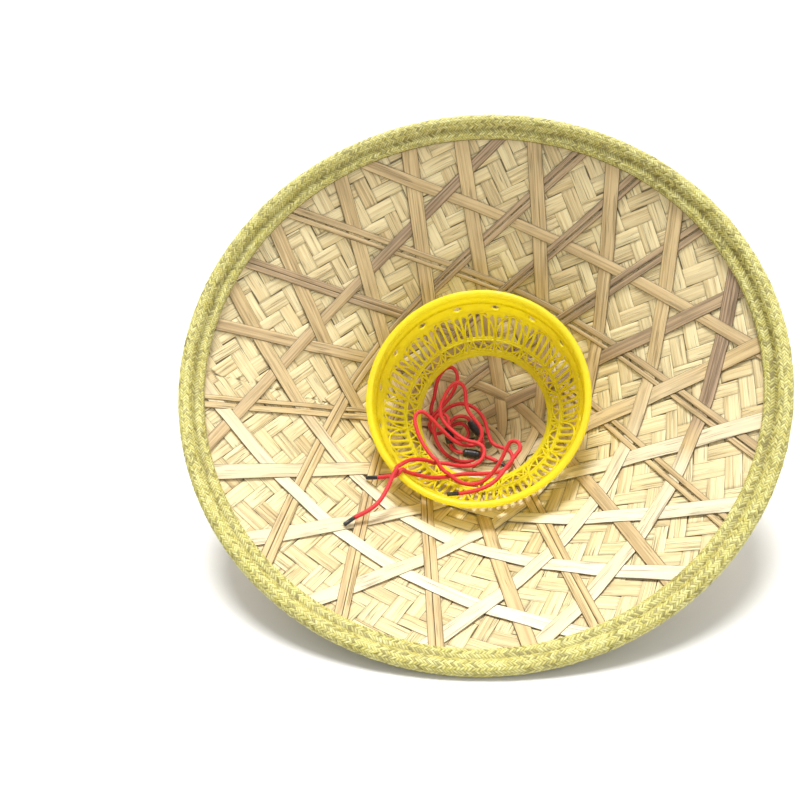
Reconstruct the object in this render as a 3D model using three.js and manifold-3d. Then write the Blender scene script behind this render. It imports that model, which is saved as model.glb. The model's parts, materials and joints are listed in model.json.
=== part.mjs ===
// Woven bamboo cone hat lying on its side, opening towards -Y and up.
// Millimetres, +Z up, the floor is z = 0.
//
// Every solid is first drawn in the hat's own upright frame: the rim plane is z = 0,
// the tip points along +Z, and the side that lies on the floor is +Y (azimuth 90 degrees).
// A point of the wall is given by its run (distance from the tip down the wall), its
// azimuth about the axis, and its offset from the inner lattice's face, outwards positive.

import * as THREE from 'three';
import { mergeVertices } from 'three/addons/utils/BufferGeometryUtils.js';
import Module from 'manifold-3d';

const wasm = await Module();
wasm.setup();

// ---------------------------------------------------------------- driving sizes, mm
const DEG = Math.PI / 180;
const HALF_ANGLE = 49.4 * DEG;          // between the axis and the wall
const RIM_FACE_RADIUS = 210;            // lattice face in the rim plane
const HEIGHT = RIM_FACE_RADIUS / Math.tan(HALF_ANGLE);
const SEGMENTS = 64;                    // facets round the hat, one of them flat on the floor

const GAP = 0.3;
const LATTICE_THICK = 1.2;
const SHELL_IN = 1.7;                   // offsets of the woven shell's two faces
const SHELL_OUT = 3.7;
const SHELL_RUN = 274.5;                // run of the shell's edge
const SHELL_NOSE = 7;                   // rounding of the shell's tip

const BAND_OUT = 6.6;                   // offset of the rim band's outer face
const BAND_IN = -2.6;                   // offset of its inner face
const BAND_RUN_IN = 263.5;              // where its inner flap ends
const BAND_RUN_OUT = 261.5;             // where its outer flap ends
const BAND_RUN_FOLD = 275.4;            // where the fold's curve begins

const CAP_RUN = 31;                     // wound cap over the tip
const CAP_TOP_DROP = 2.2;               // flattening of its top

const RING = {                          // head ring, in its own frame: mouth plane h = 0
  centre: [0.6, 1.9, 65.8],             // middle of the mouth, upright hat frame
  lean: [7.3, 3.5],                     // degrees about x and about y, it sits a little askew
  mouth: 88.8, corner: 61.2, hole: 55.5, depth: 61.2, wall: 1.9,
  // outer face of the bowl-shaped wall, radius and depth, from below the rolled rim to the corner
  face: [[85.6, 2.8], [84.6, 14], [80.9, 30], [72.9, 45.5], [67.9, 50.8], [61.2, 56.4]],
};
const RING_WINDOWS = { count: 48, width: 4.4, from: 31, to: 44.5 };

const SPLINT_WIDTH = 10.6;              // lattice splints
const LATTICE_RUN = 271.5;              // where the splints end, under the band

const CORD = 3.0;                       // tie cord diameter
const AGLET = 3.2;                      // diameter of the black tips
const LOCK = { diameter: 8.4, bore: 4.4 };

// Lattice: twenty splints in four groups that pass the tip on four sides.
// azimuth: where a splint comes nearest to the tip; reach: its run there;
// spread: turn about the axis for each unit of angle along the flattened splint.
const SPLINTS = [
  { side: 'A', azimuth: 302.3, reach: 192.5, spread: 1.323, width: 1.0 },
  { side: 'A', azimuth: 302.4, reach: 137.7, spread: 1.338, width: 1.0 },
  { side: 'A', azimuth: 302.0, reach: 88.0, spread: 1.335, width: 1.0 },
  { side: 'A', azimuth: 301.5, reach: 49.9, spread: 1.392, width: 1.0 },
  { side: 'A', azimuth: 300.1, reach: 14.6, spread: 1.463, width: 1.0 },
  { side: 'B', azimuth: 219.7, reach: 183.7, spread: 1.244, width: 1.0 },
  { side: 'B', azimuth: 215.1, reach: 131.2, spread: 1.339, width: 1.0 },
  { side: 'B', azimuth: 212.7, reach: 86.9, spread: 1.370, width: 1.0 },
  { side: 'B', azimuth: 212.5, reach: 48.4, spread: 1.456, width: 1.0 },
  { side: 'B', azimuth: 212.4, reach: 18.3, spread: 1.540, width: 1.0 },
  { side: 'C', azimuth: 123.2, reach: 196.5, spread: 1.279, width: 1.0 },
  { side: 'C', azimuth: 124.9, reach: 142.0, spread: 1.326, width: 1.0 },
  { side: 'C', azimuth: 125.2, reach: 98.0, spread: 1.367, width: 1.0 },
  { side: 'C', azimuth: 126.0, reach: 57.6, spread: 1.449, width: 1.0 },
  { side: 'C', azimuth: 126.7, reach: 26.7, spread: 1.531, width: 1.0 },
  { side: 'D', azimuth: 30.2, reach: 209.9, spread: 1.306, width: 1.0 },
  { side: 'D', azimuth: 29.9, reach: 157.1, spread: 1.294, width: 1.0 },
  { side: 'D', azimuth: 32.9, reach: 102.1, spread: 1.327, width: 1.0 },
  { side: 'D', azimuth: 32.5, reach: 59.5, spread: 1.398, width: 1.0 },
  { side: 'D', azimuth: 32.1, reach: 21.9, spread: 1.458, width: 1.0 },
];

// Routes of the two tie cords as they lie, tip to tip: x, y, z in the lying frame.
// The first and last rows of a route span its black tips.
const ROUTE_1 = [
  [-87.6, 6.3, 38.0], [-77.5, 3.7, 39.8], [-67.8, 1.2, 42.3], [-64.7, -1.4, 43.7],
  [-63.2, -2.7, 45.1], [-60.7, -2.9, 46.9], [-58.6, -1.1, 48.4], [-57.3, 1.6, 48.4],
  [-55.1, 5.8, 43.6], [-45.7, 12.1, 36.0], [-36.1, 19.6, 29.0], [-27.2, 28.5, 23.8],
  [-25.6, 30.2, 22.9], [-13.2, 37.4, 20.6], [-0.2, 43.3, 17.0], [13.3, 49.0, 14.4],
  [20.0, 52.3, 14.4], [25.6, 56.7, 16.5], [27.7, 60.2, 19.2], [27.9, 64.0, 22.3],
  [25.5, 67.3, 24.8], [19.2, 70.7, 26.2], [14.7, 72.7, 26.9], [11.1, 75.3, 28.9],
  [8.4, 80.3, 33.7], [5.3, 88.5, 42.6], [1.6, 92.9, 47.4], [-3.7, 96.5, 51.3],
  [-10.4, 99.0, 53.6], [-17.8, 100.0, 53.6], [-24.9, 99.7, 51.2], [-29.1, 98.9, 48.5],
  [-32.4, 97.6, 45.2], [-34.6, 97.2, 44.0], [-37.0, 97.4, 43.4], [-39.3, 98.1, 43.9],
  [-41.0, 98.5, 45.5], [-41.9, 99.6, 47.6], [-41.0, 102.1, 51.8], [-38.8, 105.7, 58.0],
  [-36.2, 111.3, 68.9], [-33.2, 114.4, 75.0], [-28.4, 117.0, 80.0], [-26.2, 117.5, 80.9],
  [-23.8, 117.6, 81.0], [-21.5, 117.3, 80.2], [-19.8, 116.5, 78.6], [-18.1, 114.5, 74.6],
  [-18.8, 111.0, 68.1], [-23.2, 106.2, 60.5], [-30.7, 100.5, 52.4], [-39.4, 94.4, 45.6],
  [-41.9, 92.7, 41.6], [-42.9, 90.3, 37.2], [-40.8, 88.3, 33.2], [-39.0, 88.0, 31.6],
  [-36.6, 88.1, 31.0], [-32.0, 89.4, 31.7], [-25.7, 92.3, 34.6], [-19.0, 93.8, 37.5],
  [-14.2, 93.6, 37.1], [-10.7, 92.2, 34.3], [-9.1, 89.7, 30.6], [-9.5, 88.3, 28.6],
  [-10.8, 87.0, 27.0], [-12.8, 86.1, 26.0], [-15.2, 85.5, 25.7], [-19.7, 85.6, 27.2],
  [-23.3, 86.6, 30.4], [-25.3, 88.0, 34.5], [-25.6, 88.8, 36.8], [-24.2, 91.4, 40.6],
  [-20.7, 93.1, 43.5], [-16.1, 93.9, 44.7], [-11.3, 93.7, 43.9], [-9.2, 93.1, 42.8],
  [-7.7, 92.1, 41.1], [0.7, 86.1, 30.3], [2.8, 84.0, 26.5], [2.7, 80.1, 20.2],
  [0.8, 77.5, 16.3], [-2.5, 75.4, 13.4], [-9.3, 73.2, 11.1], [-16.8, 72.6, 11.7],
  [-26.0, 73.7, 15.8], [-31.5, 75.5, 20.6], [-35.5, 77.9, 26.5], [-37.9, 80.6, 33.1],
  [-38.4, 83.5, 40.0], [-37.1, 86.3, 46.6], [-35.8, 87.1, 48.6], [-33.8, 87.5, 50.0],
  [-31.5, 87.5, 50.7], [-29.1, 86.9, 50.4], [-27.2, 85.9, 49.4], [-26.0, 84.6, 47.7],
  [-25.7, 80.1, 42.0], [-24.4, 72.2, 32.3], [-24.1, 70.7, 30.4], [-23.7, 69.1, 28.5],
  [-20.2, 66.9, 26.0], [-13.2, 65.0, 24.8], [-0.8, 62.2, 24.0], [1.6, 61.7, 23.9],
  [10.7, 58.7, 22.3], [15.1, 56.7, 21.0], [23.3, 51.9, 18.3],
];
const ROUTE_2 = [
  [-96.8, -49.3, 32.6], [-90.2, -41.9, 33.7], [-80.8, -33.7, 34.4], [-74.1, -26.6, 36.4],
  [-69.2, -18.8, 40.4], [-64.5, -8.7, 47.0], [-62.6, -4.9, 49.9], [-61.2, -3.1, 51.5],
  [-61.6, -0.6, 51.2], [-60.2, 3.6, 50.5], [-59.4, 7.6, 48.8], [-55.0, 17.4, 46.3],
  [-48.4, 25.9, 42.5], [-39.2, 34.0, 35.8], [-36.5, 36.5, 32.5], [-34.5, 37.8, 31.7],
  [-27.9, 39.9, 29.9], [-14.7, 43.7, 24.8], [-5.5, 46.9, 23.1], [0.7, 50.5, 24.4],
  [3.7, 53.6, 26.7], [5.0, 57.0, 29.7], [3.9, 60.3, 32.8], [0.2, 62.7, 34.8],
  [-11.4, 66.5, 36.9], [-21.4, 71.6, 42.4], [-28.1, 75.9, 47.8], [-31.5, 79.8, 53.3],
  [-31.8, 84.0, 59.3], [-29.4, 88.0, 65.0], [-23.0, 93.9, 73.6], [-19.2, 95.7, 76.0],
  [-16.8, 96.1, 76.2], [-14.5, 96.0, 75.5], [-12.6, 95.5, 74.1], [-10.8, 93.7, 70.0],
  [-9.6, 87.0, 56.9], [-6.2, 83.8, 51.2], [1.2, 78.6, 42.8], [2.8, 76.0, 39.0],
  [2.6, 73.2, 35.1], [0.1, 70.6, 31.9], [-4.0, 68.7, 30.2], [-8.7, 67.7, 30.3],
  [-15.8, 67.1, 32.4], [-22.0, 67.5, 36.5], [-32.1, 69.7, 47.0], [-40.2, 71.0, 56.5],
  [-43.5, 71.3, 60.1], [-45.4, 71.1, 61.5], [-47.6, 70.5, 62.3], [-49.7, 69.3, 62.2],
  [-51.3, 67.7, 61.3], [-52.3, 64.2, 58.1], [-49.4, 55.7, 49.7], [-44.1, 47.4, 42.4],
  [-37.0, 39.5, 36.5], [-33.6, 36.0, 35.4], [-31.3, 33.9, 31.4], [-26.4, 30.7, 27.3],
  [-24.4, 29.5, 26.8], [-19.0, 27.5, 22.4], [-12.1, 25.9, 19.3], [-4.7, 25.4, 18.4],
  [2.6, 26.4, 20.0], [8.8, 28.4, 23.8], [16.6, 32.7, 32.4], [23.5, 37.8, 44.5],
  [25.8, 39.3, 48.5], [27.8, 39.3, 50.0], [30.0, 38.7, 50.7], [32.1, 37.4, 50.6],
  [33.6, 35.7, 49.7], [34.2, 33.8, 48.3], [33.9, 32.0, 46.7], [31.0, 29.2, 44.0],
  [22.2, 20.5, 36.1], [14.6, 13.0, 30.4], [7.0, 7.7, 27.8], [-3.6, 2.2, 27.1],
  [-14.4, -2.7, 28.3], [-22.9, -6.5, 30.3],
];
// Barrel-shaped cord locks, each round the straight stretch between two rows of route 1.
const LOCKS = [
  { name: 'cord_lock_1', from: 101, to: 103 },
  { name: 'cord_lock_2', from: 76, to: 77 },
  { name: 'cord_lock_3', from: 96, to: 98 },
];

// ---------------------------------------------------------------- wall coordinates
const sinA = Math.sin(HALF_ANGLE);
const cosA = Math.cos(HALF_ANGLE);

// run and offset to radius and height in the upright frame
function wall(run, offset) {
  return new THREE.Vector2(run * sinA + offset * cosA, HEIGHT - run * cosA + offset * sinA);
}

// ---------------------------------------------------------------- solid helpers
function clean(geometry) {
  const g = geometry.index ? geometry.toNonIndexed() : geometry.clone();
  for (const name of Object.keys(g.attributes)) if (name !== 'position') g.deleteAttribute(name);
  const merged = mergeVertices(g, 1e-4);
  const pos = merged.attributes.position;
  const idx = merged.index.array;
  const keep = [];
  const a = new THREE.Vector3(), b = new THREE.Vector3(), c = new THREE.Vector3();
  let volume = 0;
  for (let i = 0; i < idx.length; i += 3) {
    if (idx[i] === idx[i + 1] || idx[i + 1] === idx[i + 2] || idx[i] === idx[i + 2]) continue;
    keep.push(idx[i], idx[i + 1], idx[i + 2]);
    a.fromBufferAttribute(pos, idx[i]);
    b.fromBufferAttribute(pos, idx[i + 1]);
    c.fromBufferAttribute(pos, idx[i + 2]);
    volume += a.dot(b.cross(c)) / 6;
  }
  if (volume < 0) for (let i = 0; i < keep.length; i += 3) [keep[i], keep[i + 1]] = [keep[i + 1], keep[i]];
  merged.setIndex(keep);
  return merged;
}

// closed profile of [radius, height] turned about the Z axis
function turned(profile, segments = SEGMENTS) {
  const half = Math.PI / segments;
  const g = new THREE.LatheGeometry(profile, segments, half, 2 * Math.PI);
  g.rotateX(Math.PI / 2);
  return clean(g);
}

function toManifold(geometry) {
  const g = clean(geometry);
  return new wasm.Manifold(new wasm.Mesh({
    numProp: 3,
    vertProperties: new Float32Array(g.attributes.position.array),
    triVerts: new Uint32Array(g.index.array),
  }));
}

function fromManifold(solid, place = null) {
  const mesh = solid.getMesh();
  const n = mesh.numProp;
  const out = new Float32Array((mesh.vertProperties.length / n) * 3);
  const p = new THREE.Vector3();
  for (let i = 0; i < out.length / 3; i++) {
    p.set(mesh.vertProperties[i * n], mesh.vertProperties[i * n + 1], mesh.vertProperties[i * n + 2]);
    if (place) place(p);
    out[3 * i] = p.x; out[3 * i + 1] = p.y; out[3 * i + 2] = p.z;
  }
  const g = new THREE.BufferGeometry();
  g.setAttribute('position', new THREE.BufferAttribute(out, 3));
  g.setIndex(Array.from(mesh.triVerts));
  return g;
}

const materials = {
  bamboo: new THREE.MeshStandardMaterial({ color: 0xd8bd84, roughness: 0.55, metalness: 0 }),
  splint: new THREE.MeshStandardMaterial({ color: 0xb9986a, roughness: 0.6, metalness: 0 }),
  braid: new THREE.MeshStandardMaterial({ color: 0xcdca80, roughness: 0.75, metalness: 0 }),
  cap: new THREE.MeshStandardMaterial({ color: 0xdcc98a, roughness: 0.75, metalness: 0 }),
  plastic: new THREE.MeshStandardMaterial({ color: 0xf0d81c, roughness: 0.3, metalness: 0 }),
  cord: new THREE.MeshStandardMaterial({ color: 0xd8232f, roughness: 0.8, metalness: 0 }),
  black: new THREE.MeshStandardMaterial({ color: 0x151517, roughness: 0.4, metalness: 0 }),
};

const hat = new THREE.Group();
const upright = new THREE.Group();      // the hat's own frame, turned onto its side below
hat.add(upright);

function add(name, geometry, material) {
  const mesh = new THREE.Mesh(geometry, material);
  mesh.name = name;
  upright.add(mesh);
  return mesh;
}

// ---------------------------------------------------------------- woven shell
{
  const outerTip = HEIGHT + SHELL_OUT / sinA;
  const innerTip = HEIGHT + SHELL_IN / sinA;
  const nose = (tip, radius) => {       // rounded end of a cone whose sharp tip is at this height
    const pts = [];
    const centre = tip - radius / sinA;
    for (let k = 0; k <= 3; k++) {
      const a = (90 - (k / 3) * (HALF_ANGLE / DEG - 0)) * DEG;
      pts.push(new THREE.Vector2(Math.max(0, radius * Math.cos(a)), centre + radius * Math.sin(a)));
    }
    return pts;
  };
  const outside = nose(outerTip, SHELL_NOSE + 2);
  const inside = nose(innerTip, SHELL_NOSE).reverse();
  const rows = [60, 130, 200, SHELL_RUN];
  const profile = [
    ...outside,
    ...rows.map((run) => wall(run, SHELL_OUT)),
    ...[...rows].reverse().map((run) => wall(run, SHELL_IN)),
    ...inside,
  ];
  profile[0].x = 0;
  profile[profile.length - 1].x = 0;
  add('woven_shell', turned(profile), materials.bamboo);
}

// ---------------------------------------------------------------- inner lattice
{
  // Each splint is a thin box, laid out flat as the hat is seen along its axis; the boxes are
  // joined there, and the joined lattice is then raised onto the cone.
  const lay = (splint) => {
    const half = Math.sqrt(LATTICE_RUN ** 2 - splint.reach ** 2);
    const steps = 2 * Math.max(4, Math.round(half / 34));
    const box = new THREE.BoxGeometry(2, SPLINT_WIDTH * splint.width, LATTICE_THICK, steps, 1, 1);
    const pos = box.attributes.position;
    for (let i = 0; i < pos.count; i++) {
      const u = pos.getX(i);
      const turn = u * Math.atan2(half, splint.reach);           // even steps of angle
      const mixed = 0.55 * splint.reach * Math.tan(turn) + 0.45 * u * half;
      const along = THREE.MathUtils.clamp(mixed, -half, half);
      const across = splint.reach + pos.getY(i);
      const run = Math.hypot(along, across);
      const azimuth = splint.azimuth * DEG + splint.spread * Math.atan2(along, across);
      pos.setXYZ(i, run * Math.cos(azimuth), run * Math.sin(azimuth), pos.getZ(i) + LATTICE_THICK / 2);
    }
    return toManifold(box);
  };
  let joined = lay(SPLINTS[0]);
  for (const splint of SPLINTS.slice(1)) joined = joined.add(lay(splint));
  // trimmed to a clean circle under the band
  const disc = new THREE.CylinderGeometry(LATTICE_RUN - 1, LATTICE_RUN - 1, 6, 96);
  disc.rotateX(Math.PI / 2);
  joined = joined.intersect(toManifold(disc));
  const raise = (p) => {
    const run = Math.hypot(p.x, p.y);
    const q = wall(run, p.z);
    const k = run > 1e-9 ? q.x / run : 0;
    p.set(p.x * k, p.y * k, q.y);
  };
  add('inner_lattice', fromManifold(joined, raise), materials.splint);
}

// ---------------------------------------------------------------- braided rim band
{
  const mid = (BAND_OUT + BAND_IN) / 2;
  const radius = (BAND_OUT - BAND_IN) / 2;
  const fold = [];
  for (let k = 0; k <= 4; k++) {
    const a = (90 - 45 * k) * DEG;
    fold.push(wall(BAND_RUN_FOLD + radius * Math.cos(a) * 0.85, mid + radius * Math.sin(a)));
  }
  const inLo = -GAP, inHi = SHELL_OUT + GAP;
  const profile = [
    wall(BAND_RUN_OUT, BAND_OUT - 0.9),
    wall(BAND_RUN_OUT + 1.4, BAND_OUT),
    ...fold,
    wall(BAND_RUN_IN + 1.4, BAND_IN),
    wall(BAND_RUN_IN, BAND_IN + 0.9),
    wall(BAND_RUN_IN, inLo),
    wall(BAND_RUN_FOLD - 0.4, inLo),
    wall(BAND_RUN_FOLD - 0.4, inHi),
    wall(BAND_RUN_OUT, inHi),
    wall(BAND_RUN_OUT, BAND_OUT - 0.9),
  ];
  add('rim_band', turned(profile), materials.braid);
}

// ---------------------------------------------------------------- wound cap over the tip
{
  const inner = SHELL_OUT + GAP;
  const tipIn = HEIGHT + inner / sinA;
  const noseR = SHELL_NOSE + 2 + GAP;
  const arc = (radius, tip, flatten) => {
    const pts = [];
    const centre = tip - radius / sinA;
    for (let k = 0; k <= 3; k++) {
      const a = (90 - (k / 3) * (HALF_ANGLE / DEG)) * DEG;
      pts.push(new THREE.Vector2(Math.max(0, radius * Math.cos(a)), centre + radius * Math.sin(a) - flatten * (k === 0 ? 1 : 0)));
    }
    return pts;
  };
  const tipOut = HEIGHT + BAND_OUT / sinA;
  const outside = arc(12, tipOut, 0);
  const inside = arc(noseR, tipIn, 0).reverse();
  const profile = [
    ...outside,
    wall(CAP_RUN - 1.2, BAND_OUT),
    wall(CAP_RUN, BAND_OUT - 1),
    wall(CAP_RUN, inner),
    ...inside,
  ];
  profile[0].x = 0;
  profile[profile.length - 1].x = 0;
  add('tip_cap', turned(profile, 32), materials.cap);
}

// ---------------------------------------------------------------- head ring
function placeRing(object) {
  object.rotation.set(RING.lean[0] * DEG, RING.lean[1] * DEG, 0, 'XYZ');
  object.position.set(...RING.centre);
  return object;
}
{
  const top = RING.mouth, low = RING.corner, deep = RING.depth, wallThick = RING.wall;
  const P = (r, h) => new THREE.Vector2(r, h);
  const outer = RING.face.map(([r, h]) => P(r, h));
  const inner = outer.map((p, i) => {
    const t = outer[Math.min(i + 1, outer.length - 1)].clone().sub(outer[Math.max(i - 1, 0)]).normalize();
    return P(p.x - t.y * wallThick, p.y + t.x * wallThick);
  }).reverse();
  const profile = [
    P(top - 4.4, -2.6), P(top - 1.6, -2.6), P(top, -1), P(top, 1.2), P(top - 1.4, 2.8),
    ...outer, P(low - 1.3, deep - 1.6), P(RING.hole + 1.1, deep), P(RING.hole, deep),
    P(RING.hole, deep - 1.8), P(low - wallThick - 1, deep - 3.1),
    ...inner, P(top - 5.2, 0), P(top - 4.4, -2.6),
  ];
  let ring = toManifold(turned(profile, RING_WINDOWS.count));
  const [upper, lower] = [outer[2], outer[3]];         // the windows lie in the wall's straight stretch
  const slant = Math.atan2(upper.x - lower.x, lower.y - upper.y);
  const height = (RING_WINDOWS.to - RING_WINDOWS.from) / Math.cos(slant);
  const mid = (RING_WINDOWS.to + RING_WINDOWS.from) / 2;
  const face = THREE.MathUtils.mapLinear(mid, upper.y, lower.y, upper.x, lower.x);
  for (let k = 0; k < RING_WINDOWS.count; k++) {
    const cutter = new THREE.BoxGeometry(12, RING_WINDOWS.width, height);
    cutter.rotateY(-slant);
    cutter.translate(face - wallThick / 2, 0, mid);
    cutter.rotateZ((2 * Math.PI * k) / RING_WINDOWS.count);
    ring = ring.subtract(toManifold(cutter));
  }
  placeRing(add('head_ring', fromManifold(ring), materials.plastic));
}

// ---------------------------------------------------------------- laid on its side
// The flat facets of the band and of the cap at azimuth 90 degrees rest on the floor.
const flatness = Math.cos(Math.PI / SEGMENTS);
const facetAngle = Math.atan(Math.tan(HALF_ANGLE) * flatness);
upright.rotation.x = -(Math.PI / 2 + facetAngle);
upright.updateMatrixWorld(true);
const box = new THREE.Box3().setFromObject(upright, true);
upright.position.set(-(box.min.x + box.max.x) / 2, -(box.min.y + box.max.y) / 2, -box.min.z);
hat.updateMatrixWorld(true);

// ---------------------------------------------------------------- tie cords
// A tube's own rows are its sections, so bends are close-stepped and straights are long.
class Route extends THREE.Curve {
  constructor(points) { super(); this.points = points; }
  getPoint(t, target = new THREE.Vector3()) {
    const last = this.points.length - 1;
    const u = THREE.MathUtils.clamp(t * last, 0, last);
    const i = Math.min(Math.floor(u), last - 1);
    return target.lerpVectors(this.points[i], this.points[i + 1], u - i);
  }
  getPointAt(u, target) { return this.getPoint(u, target); }
  getTangentAt(u, target = new THREE.Vector3()) {
    const last = this.points.length - 1;
    const i = Math.round(u * last);
    const before = this.points[Math.max(i - 1, 0)], here = this.points[i], after = this.points[Math.min(i + 1, last)];
    const a = here.clone().sub(before).normalize(), b = after.clone().sub(here).normalize();
    return target.copy(a).add(b).normalize();
  }
  getSpacedPoints() { return this.points.map((p) => p.clone()); }
}

function circle(radius, sides) {
  const shape = new THREE.Shape();
  for (let k = 0; k < sides; k++) {
    const a = (2 * Math.PI * k) / sides;
    if (k === 0) shape.moveTo(radius, 0); else shape.lineTo(radius * Math.cos(a), radius * Math.sin(a));
  }
  shape.closePath();
  return shape;
}

function lay(name, geometry, material) {
  const mesh = new THREE.Mesh(geometry, material);
  mesh.name = name;
  hat.add(mesh);
}

// a solid of revolution on the line between two points
function between(profile, from, to, sides) {
  const g = turned(profile, sides);
  const axis = to.clone().sub(from).normalize();
  g.applyQuaternion(new THREE.Quaternion().setFromUnitVectors(new THREE.Vector3(0, 0, 1), axis));
  g.translate(from.x, from.y, from.z);
  return g;
}

const V = (row) => new THREE.Vector3(...row);
const P2 = (r, h) => new THREE.Vector2(r, h);

[['1', ROUTE_1], ['2', ROUTE_2]].forEach(([label, rows]) => {
  const points = rows.map(V);
  const tube = points.slice(1, -1);
  lay(`tie_cord_${label}`, clean(new THREE.ExtrudeGeometry(circle(CORD / 2, 8), {
    steps: tube.length - 1, bevelEnabled: false, extrudePath: new Route(tube),
  })), materials.cord);
  [['a', points[1], points[0]], ['b', points[points.length - 2], points[points.length - 1]]].forEach(([end, from, to]) => {
    const length = from.distanceTo(to);
    const r = AGLET / 2;
    lay(`aglet_${label}${end}`, between([P2(0, GAP), P2(r, GAP), P2(r, length - 0.6), P2(r - 0.6, length), P2(0, length)], from, to, 12), materials.black);
  });
});

LOCKS.forEach(({ name, from, to }) => {
  const a = V(ROUTE_1[from]), b = V(ROUTE_1[to]);
  const length = a.distanceTo(b);
  const R = LOCK.diameter / 2, r = LOCK.bore / 2;
  lay(name, between([
    P2(r, 0), P2(R - 1.6, 0), P2(R - 0.5, 1.6), P2(R, 4.5), P2(R, length - 4.5), P2(R - 0.5, length - 1.6), P2(R - 1.6, length), P2(r, length), P2(r, 0),
  ], a, b, 16), materials.black);
});

export default hat;
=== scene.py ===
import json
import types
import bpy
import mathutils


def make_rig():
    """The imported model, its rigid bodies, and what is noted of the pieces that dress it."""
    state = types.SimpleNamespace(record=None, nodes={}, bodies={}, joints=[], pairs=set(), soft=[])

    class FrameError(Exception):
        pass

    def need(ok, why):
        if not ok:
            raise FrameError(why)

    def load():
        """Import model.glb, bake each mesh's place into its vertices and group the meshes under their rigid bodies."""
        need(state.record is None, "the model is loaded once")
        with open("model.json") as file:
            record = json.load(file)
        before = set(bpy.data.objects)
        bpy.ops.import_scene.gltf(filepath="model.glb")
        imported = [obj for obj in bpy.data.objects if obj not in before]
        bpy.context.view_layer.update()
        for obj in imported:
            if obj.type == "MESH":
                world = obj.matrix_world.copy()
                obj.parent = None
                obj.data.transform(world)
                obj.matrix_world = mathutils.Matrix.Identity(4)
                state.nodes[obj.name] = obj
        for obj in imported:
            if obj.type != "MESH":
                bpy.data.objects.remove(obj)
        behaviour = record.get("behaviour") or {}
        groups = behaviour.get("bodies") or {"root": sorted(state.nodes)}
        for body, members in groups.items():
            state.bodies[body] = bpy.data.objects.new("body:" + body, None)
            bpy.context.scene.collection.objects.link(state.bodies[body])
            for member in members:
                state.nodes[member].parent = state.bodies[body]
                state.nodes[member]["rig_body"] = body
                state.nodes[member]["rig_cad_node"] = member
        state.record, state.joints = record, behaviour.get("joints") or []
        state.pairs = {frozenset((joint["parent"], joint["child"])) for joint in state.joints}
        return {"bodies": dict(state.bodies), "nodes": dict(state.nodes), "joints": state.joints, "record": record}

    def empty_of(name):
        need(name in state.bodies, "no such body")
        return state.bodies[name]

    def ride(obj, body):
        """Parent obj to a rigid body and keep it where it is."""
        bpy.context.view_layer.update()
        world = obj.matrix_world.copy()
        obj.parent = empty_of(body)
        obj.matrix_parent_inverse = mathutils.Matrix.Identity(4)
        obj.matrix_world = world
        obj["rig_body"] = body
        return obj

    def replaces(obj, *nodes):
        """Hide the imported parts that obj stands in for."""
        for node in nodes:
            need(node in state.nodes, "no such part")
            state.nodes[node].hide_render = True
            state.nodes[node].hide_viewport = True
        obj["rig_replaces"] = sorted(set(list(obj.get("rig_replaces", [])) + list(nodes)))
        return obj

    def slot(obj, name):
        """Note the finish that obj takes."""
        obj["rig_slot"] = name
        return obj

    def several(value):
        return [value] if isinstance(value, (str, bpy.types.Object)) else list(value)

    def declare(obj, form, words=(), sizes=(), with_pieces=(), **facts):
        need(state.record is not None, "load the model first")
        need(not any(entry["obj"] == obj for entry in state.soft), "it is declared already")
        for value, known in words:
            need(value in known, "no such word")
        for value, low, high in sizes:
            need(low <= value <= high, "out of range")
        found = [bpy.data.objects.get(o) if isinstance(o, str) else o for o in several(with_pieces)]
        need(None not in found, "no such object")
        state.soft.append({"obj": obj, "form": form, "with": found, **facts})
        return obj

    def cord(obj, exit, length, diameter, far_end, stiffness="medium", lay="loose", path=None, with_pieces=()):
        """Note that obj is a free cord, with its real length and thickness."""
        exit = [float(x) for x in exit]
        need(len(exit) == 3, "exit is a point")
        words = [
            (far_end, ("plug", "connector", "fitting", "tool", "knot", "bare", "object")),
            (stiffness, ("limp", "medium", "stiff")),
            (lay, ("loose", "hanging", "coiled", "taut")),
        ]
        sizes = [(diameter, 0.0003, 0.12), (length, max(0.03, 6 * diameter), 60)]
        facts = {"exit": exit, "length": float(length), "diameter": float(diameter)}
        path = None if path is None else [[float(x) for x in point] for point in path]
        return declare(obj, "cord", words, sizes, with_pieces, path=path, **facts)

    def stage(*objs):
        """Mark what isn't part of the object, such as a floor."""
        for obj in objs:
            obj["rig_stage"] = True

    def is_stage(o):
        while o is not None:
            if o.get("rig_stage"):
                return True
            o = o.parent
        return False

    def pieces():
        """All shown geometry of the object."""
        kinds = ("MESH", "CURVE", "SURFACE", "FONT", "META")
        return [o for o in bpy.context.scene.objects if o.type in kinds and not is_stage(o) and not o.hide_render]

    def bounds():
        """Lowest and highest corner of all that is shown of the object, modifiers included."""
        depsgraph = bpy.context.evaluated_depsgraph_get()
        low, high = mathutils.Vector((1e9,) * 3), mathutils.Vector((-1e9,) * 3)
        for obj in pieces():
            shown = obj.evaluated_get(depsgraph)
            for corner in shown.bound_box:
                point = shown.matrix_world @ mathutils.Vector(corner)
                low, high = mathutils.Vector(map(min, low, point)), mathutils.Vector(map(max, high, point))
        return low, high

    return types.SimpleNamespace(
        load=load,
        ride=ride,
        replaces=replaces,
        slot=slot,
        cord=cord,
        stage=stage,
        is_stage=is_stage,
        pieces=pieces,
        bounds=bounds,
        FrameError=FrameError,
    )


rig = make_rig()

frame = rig.load()

import json
import math

import bmesh
import bpy
import numpy as np
from mathutils import Matrix, Vector

scene = bpy.context.scene
bounds_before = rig.bounds()
rng = np.random.default_rng(20)
DEG = math.pi / 180

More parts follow.
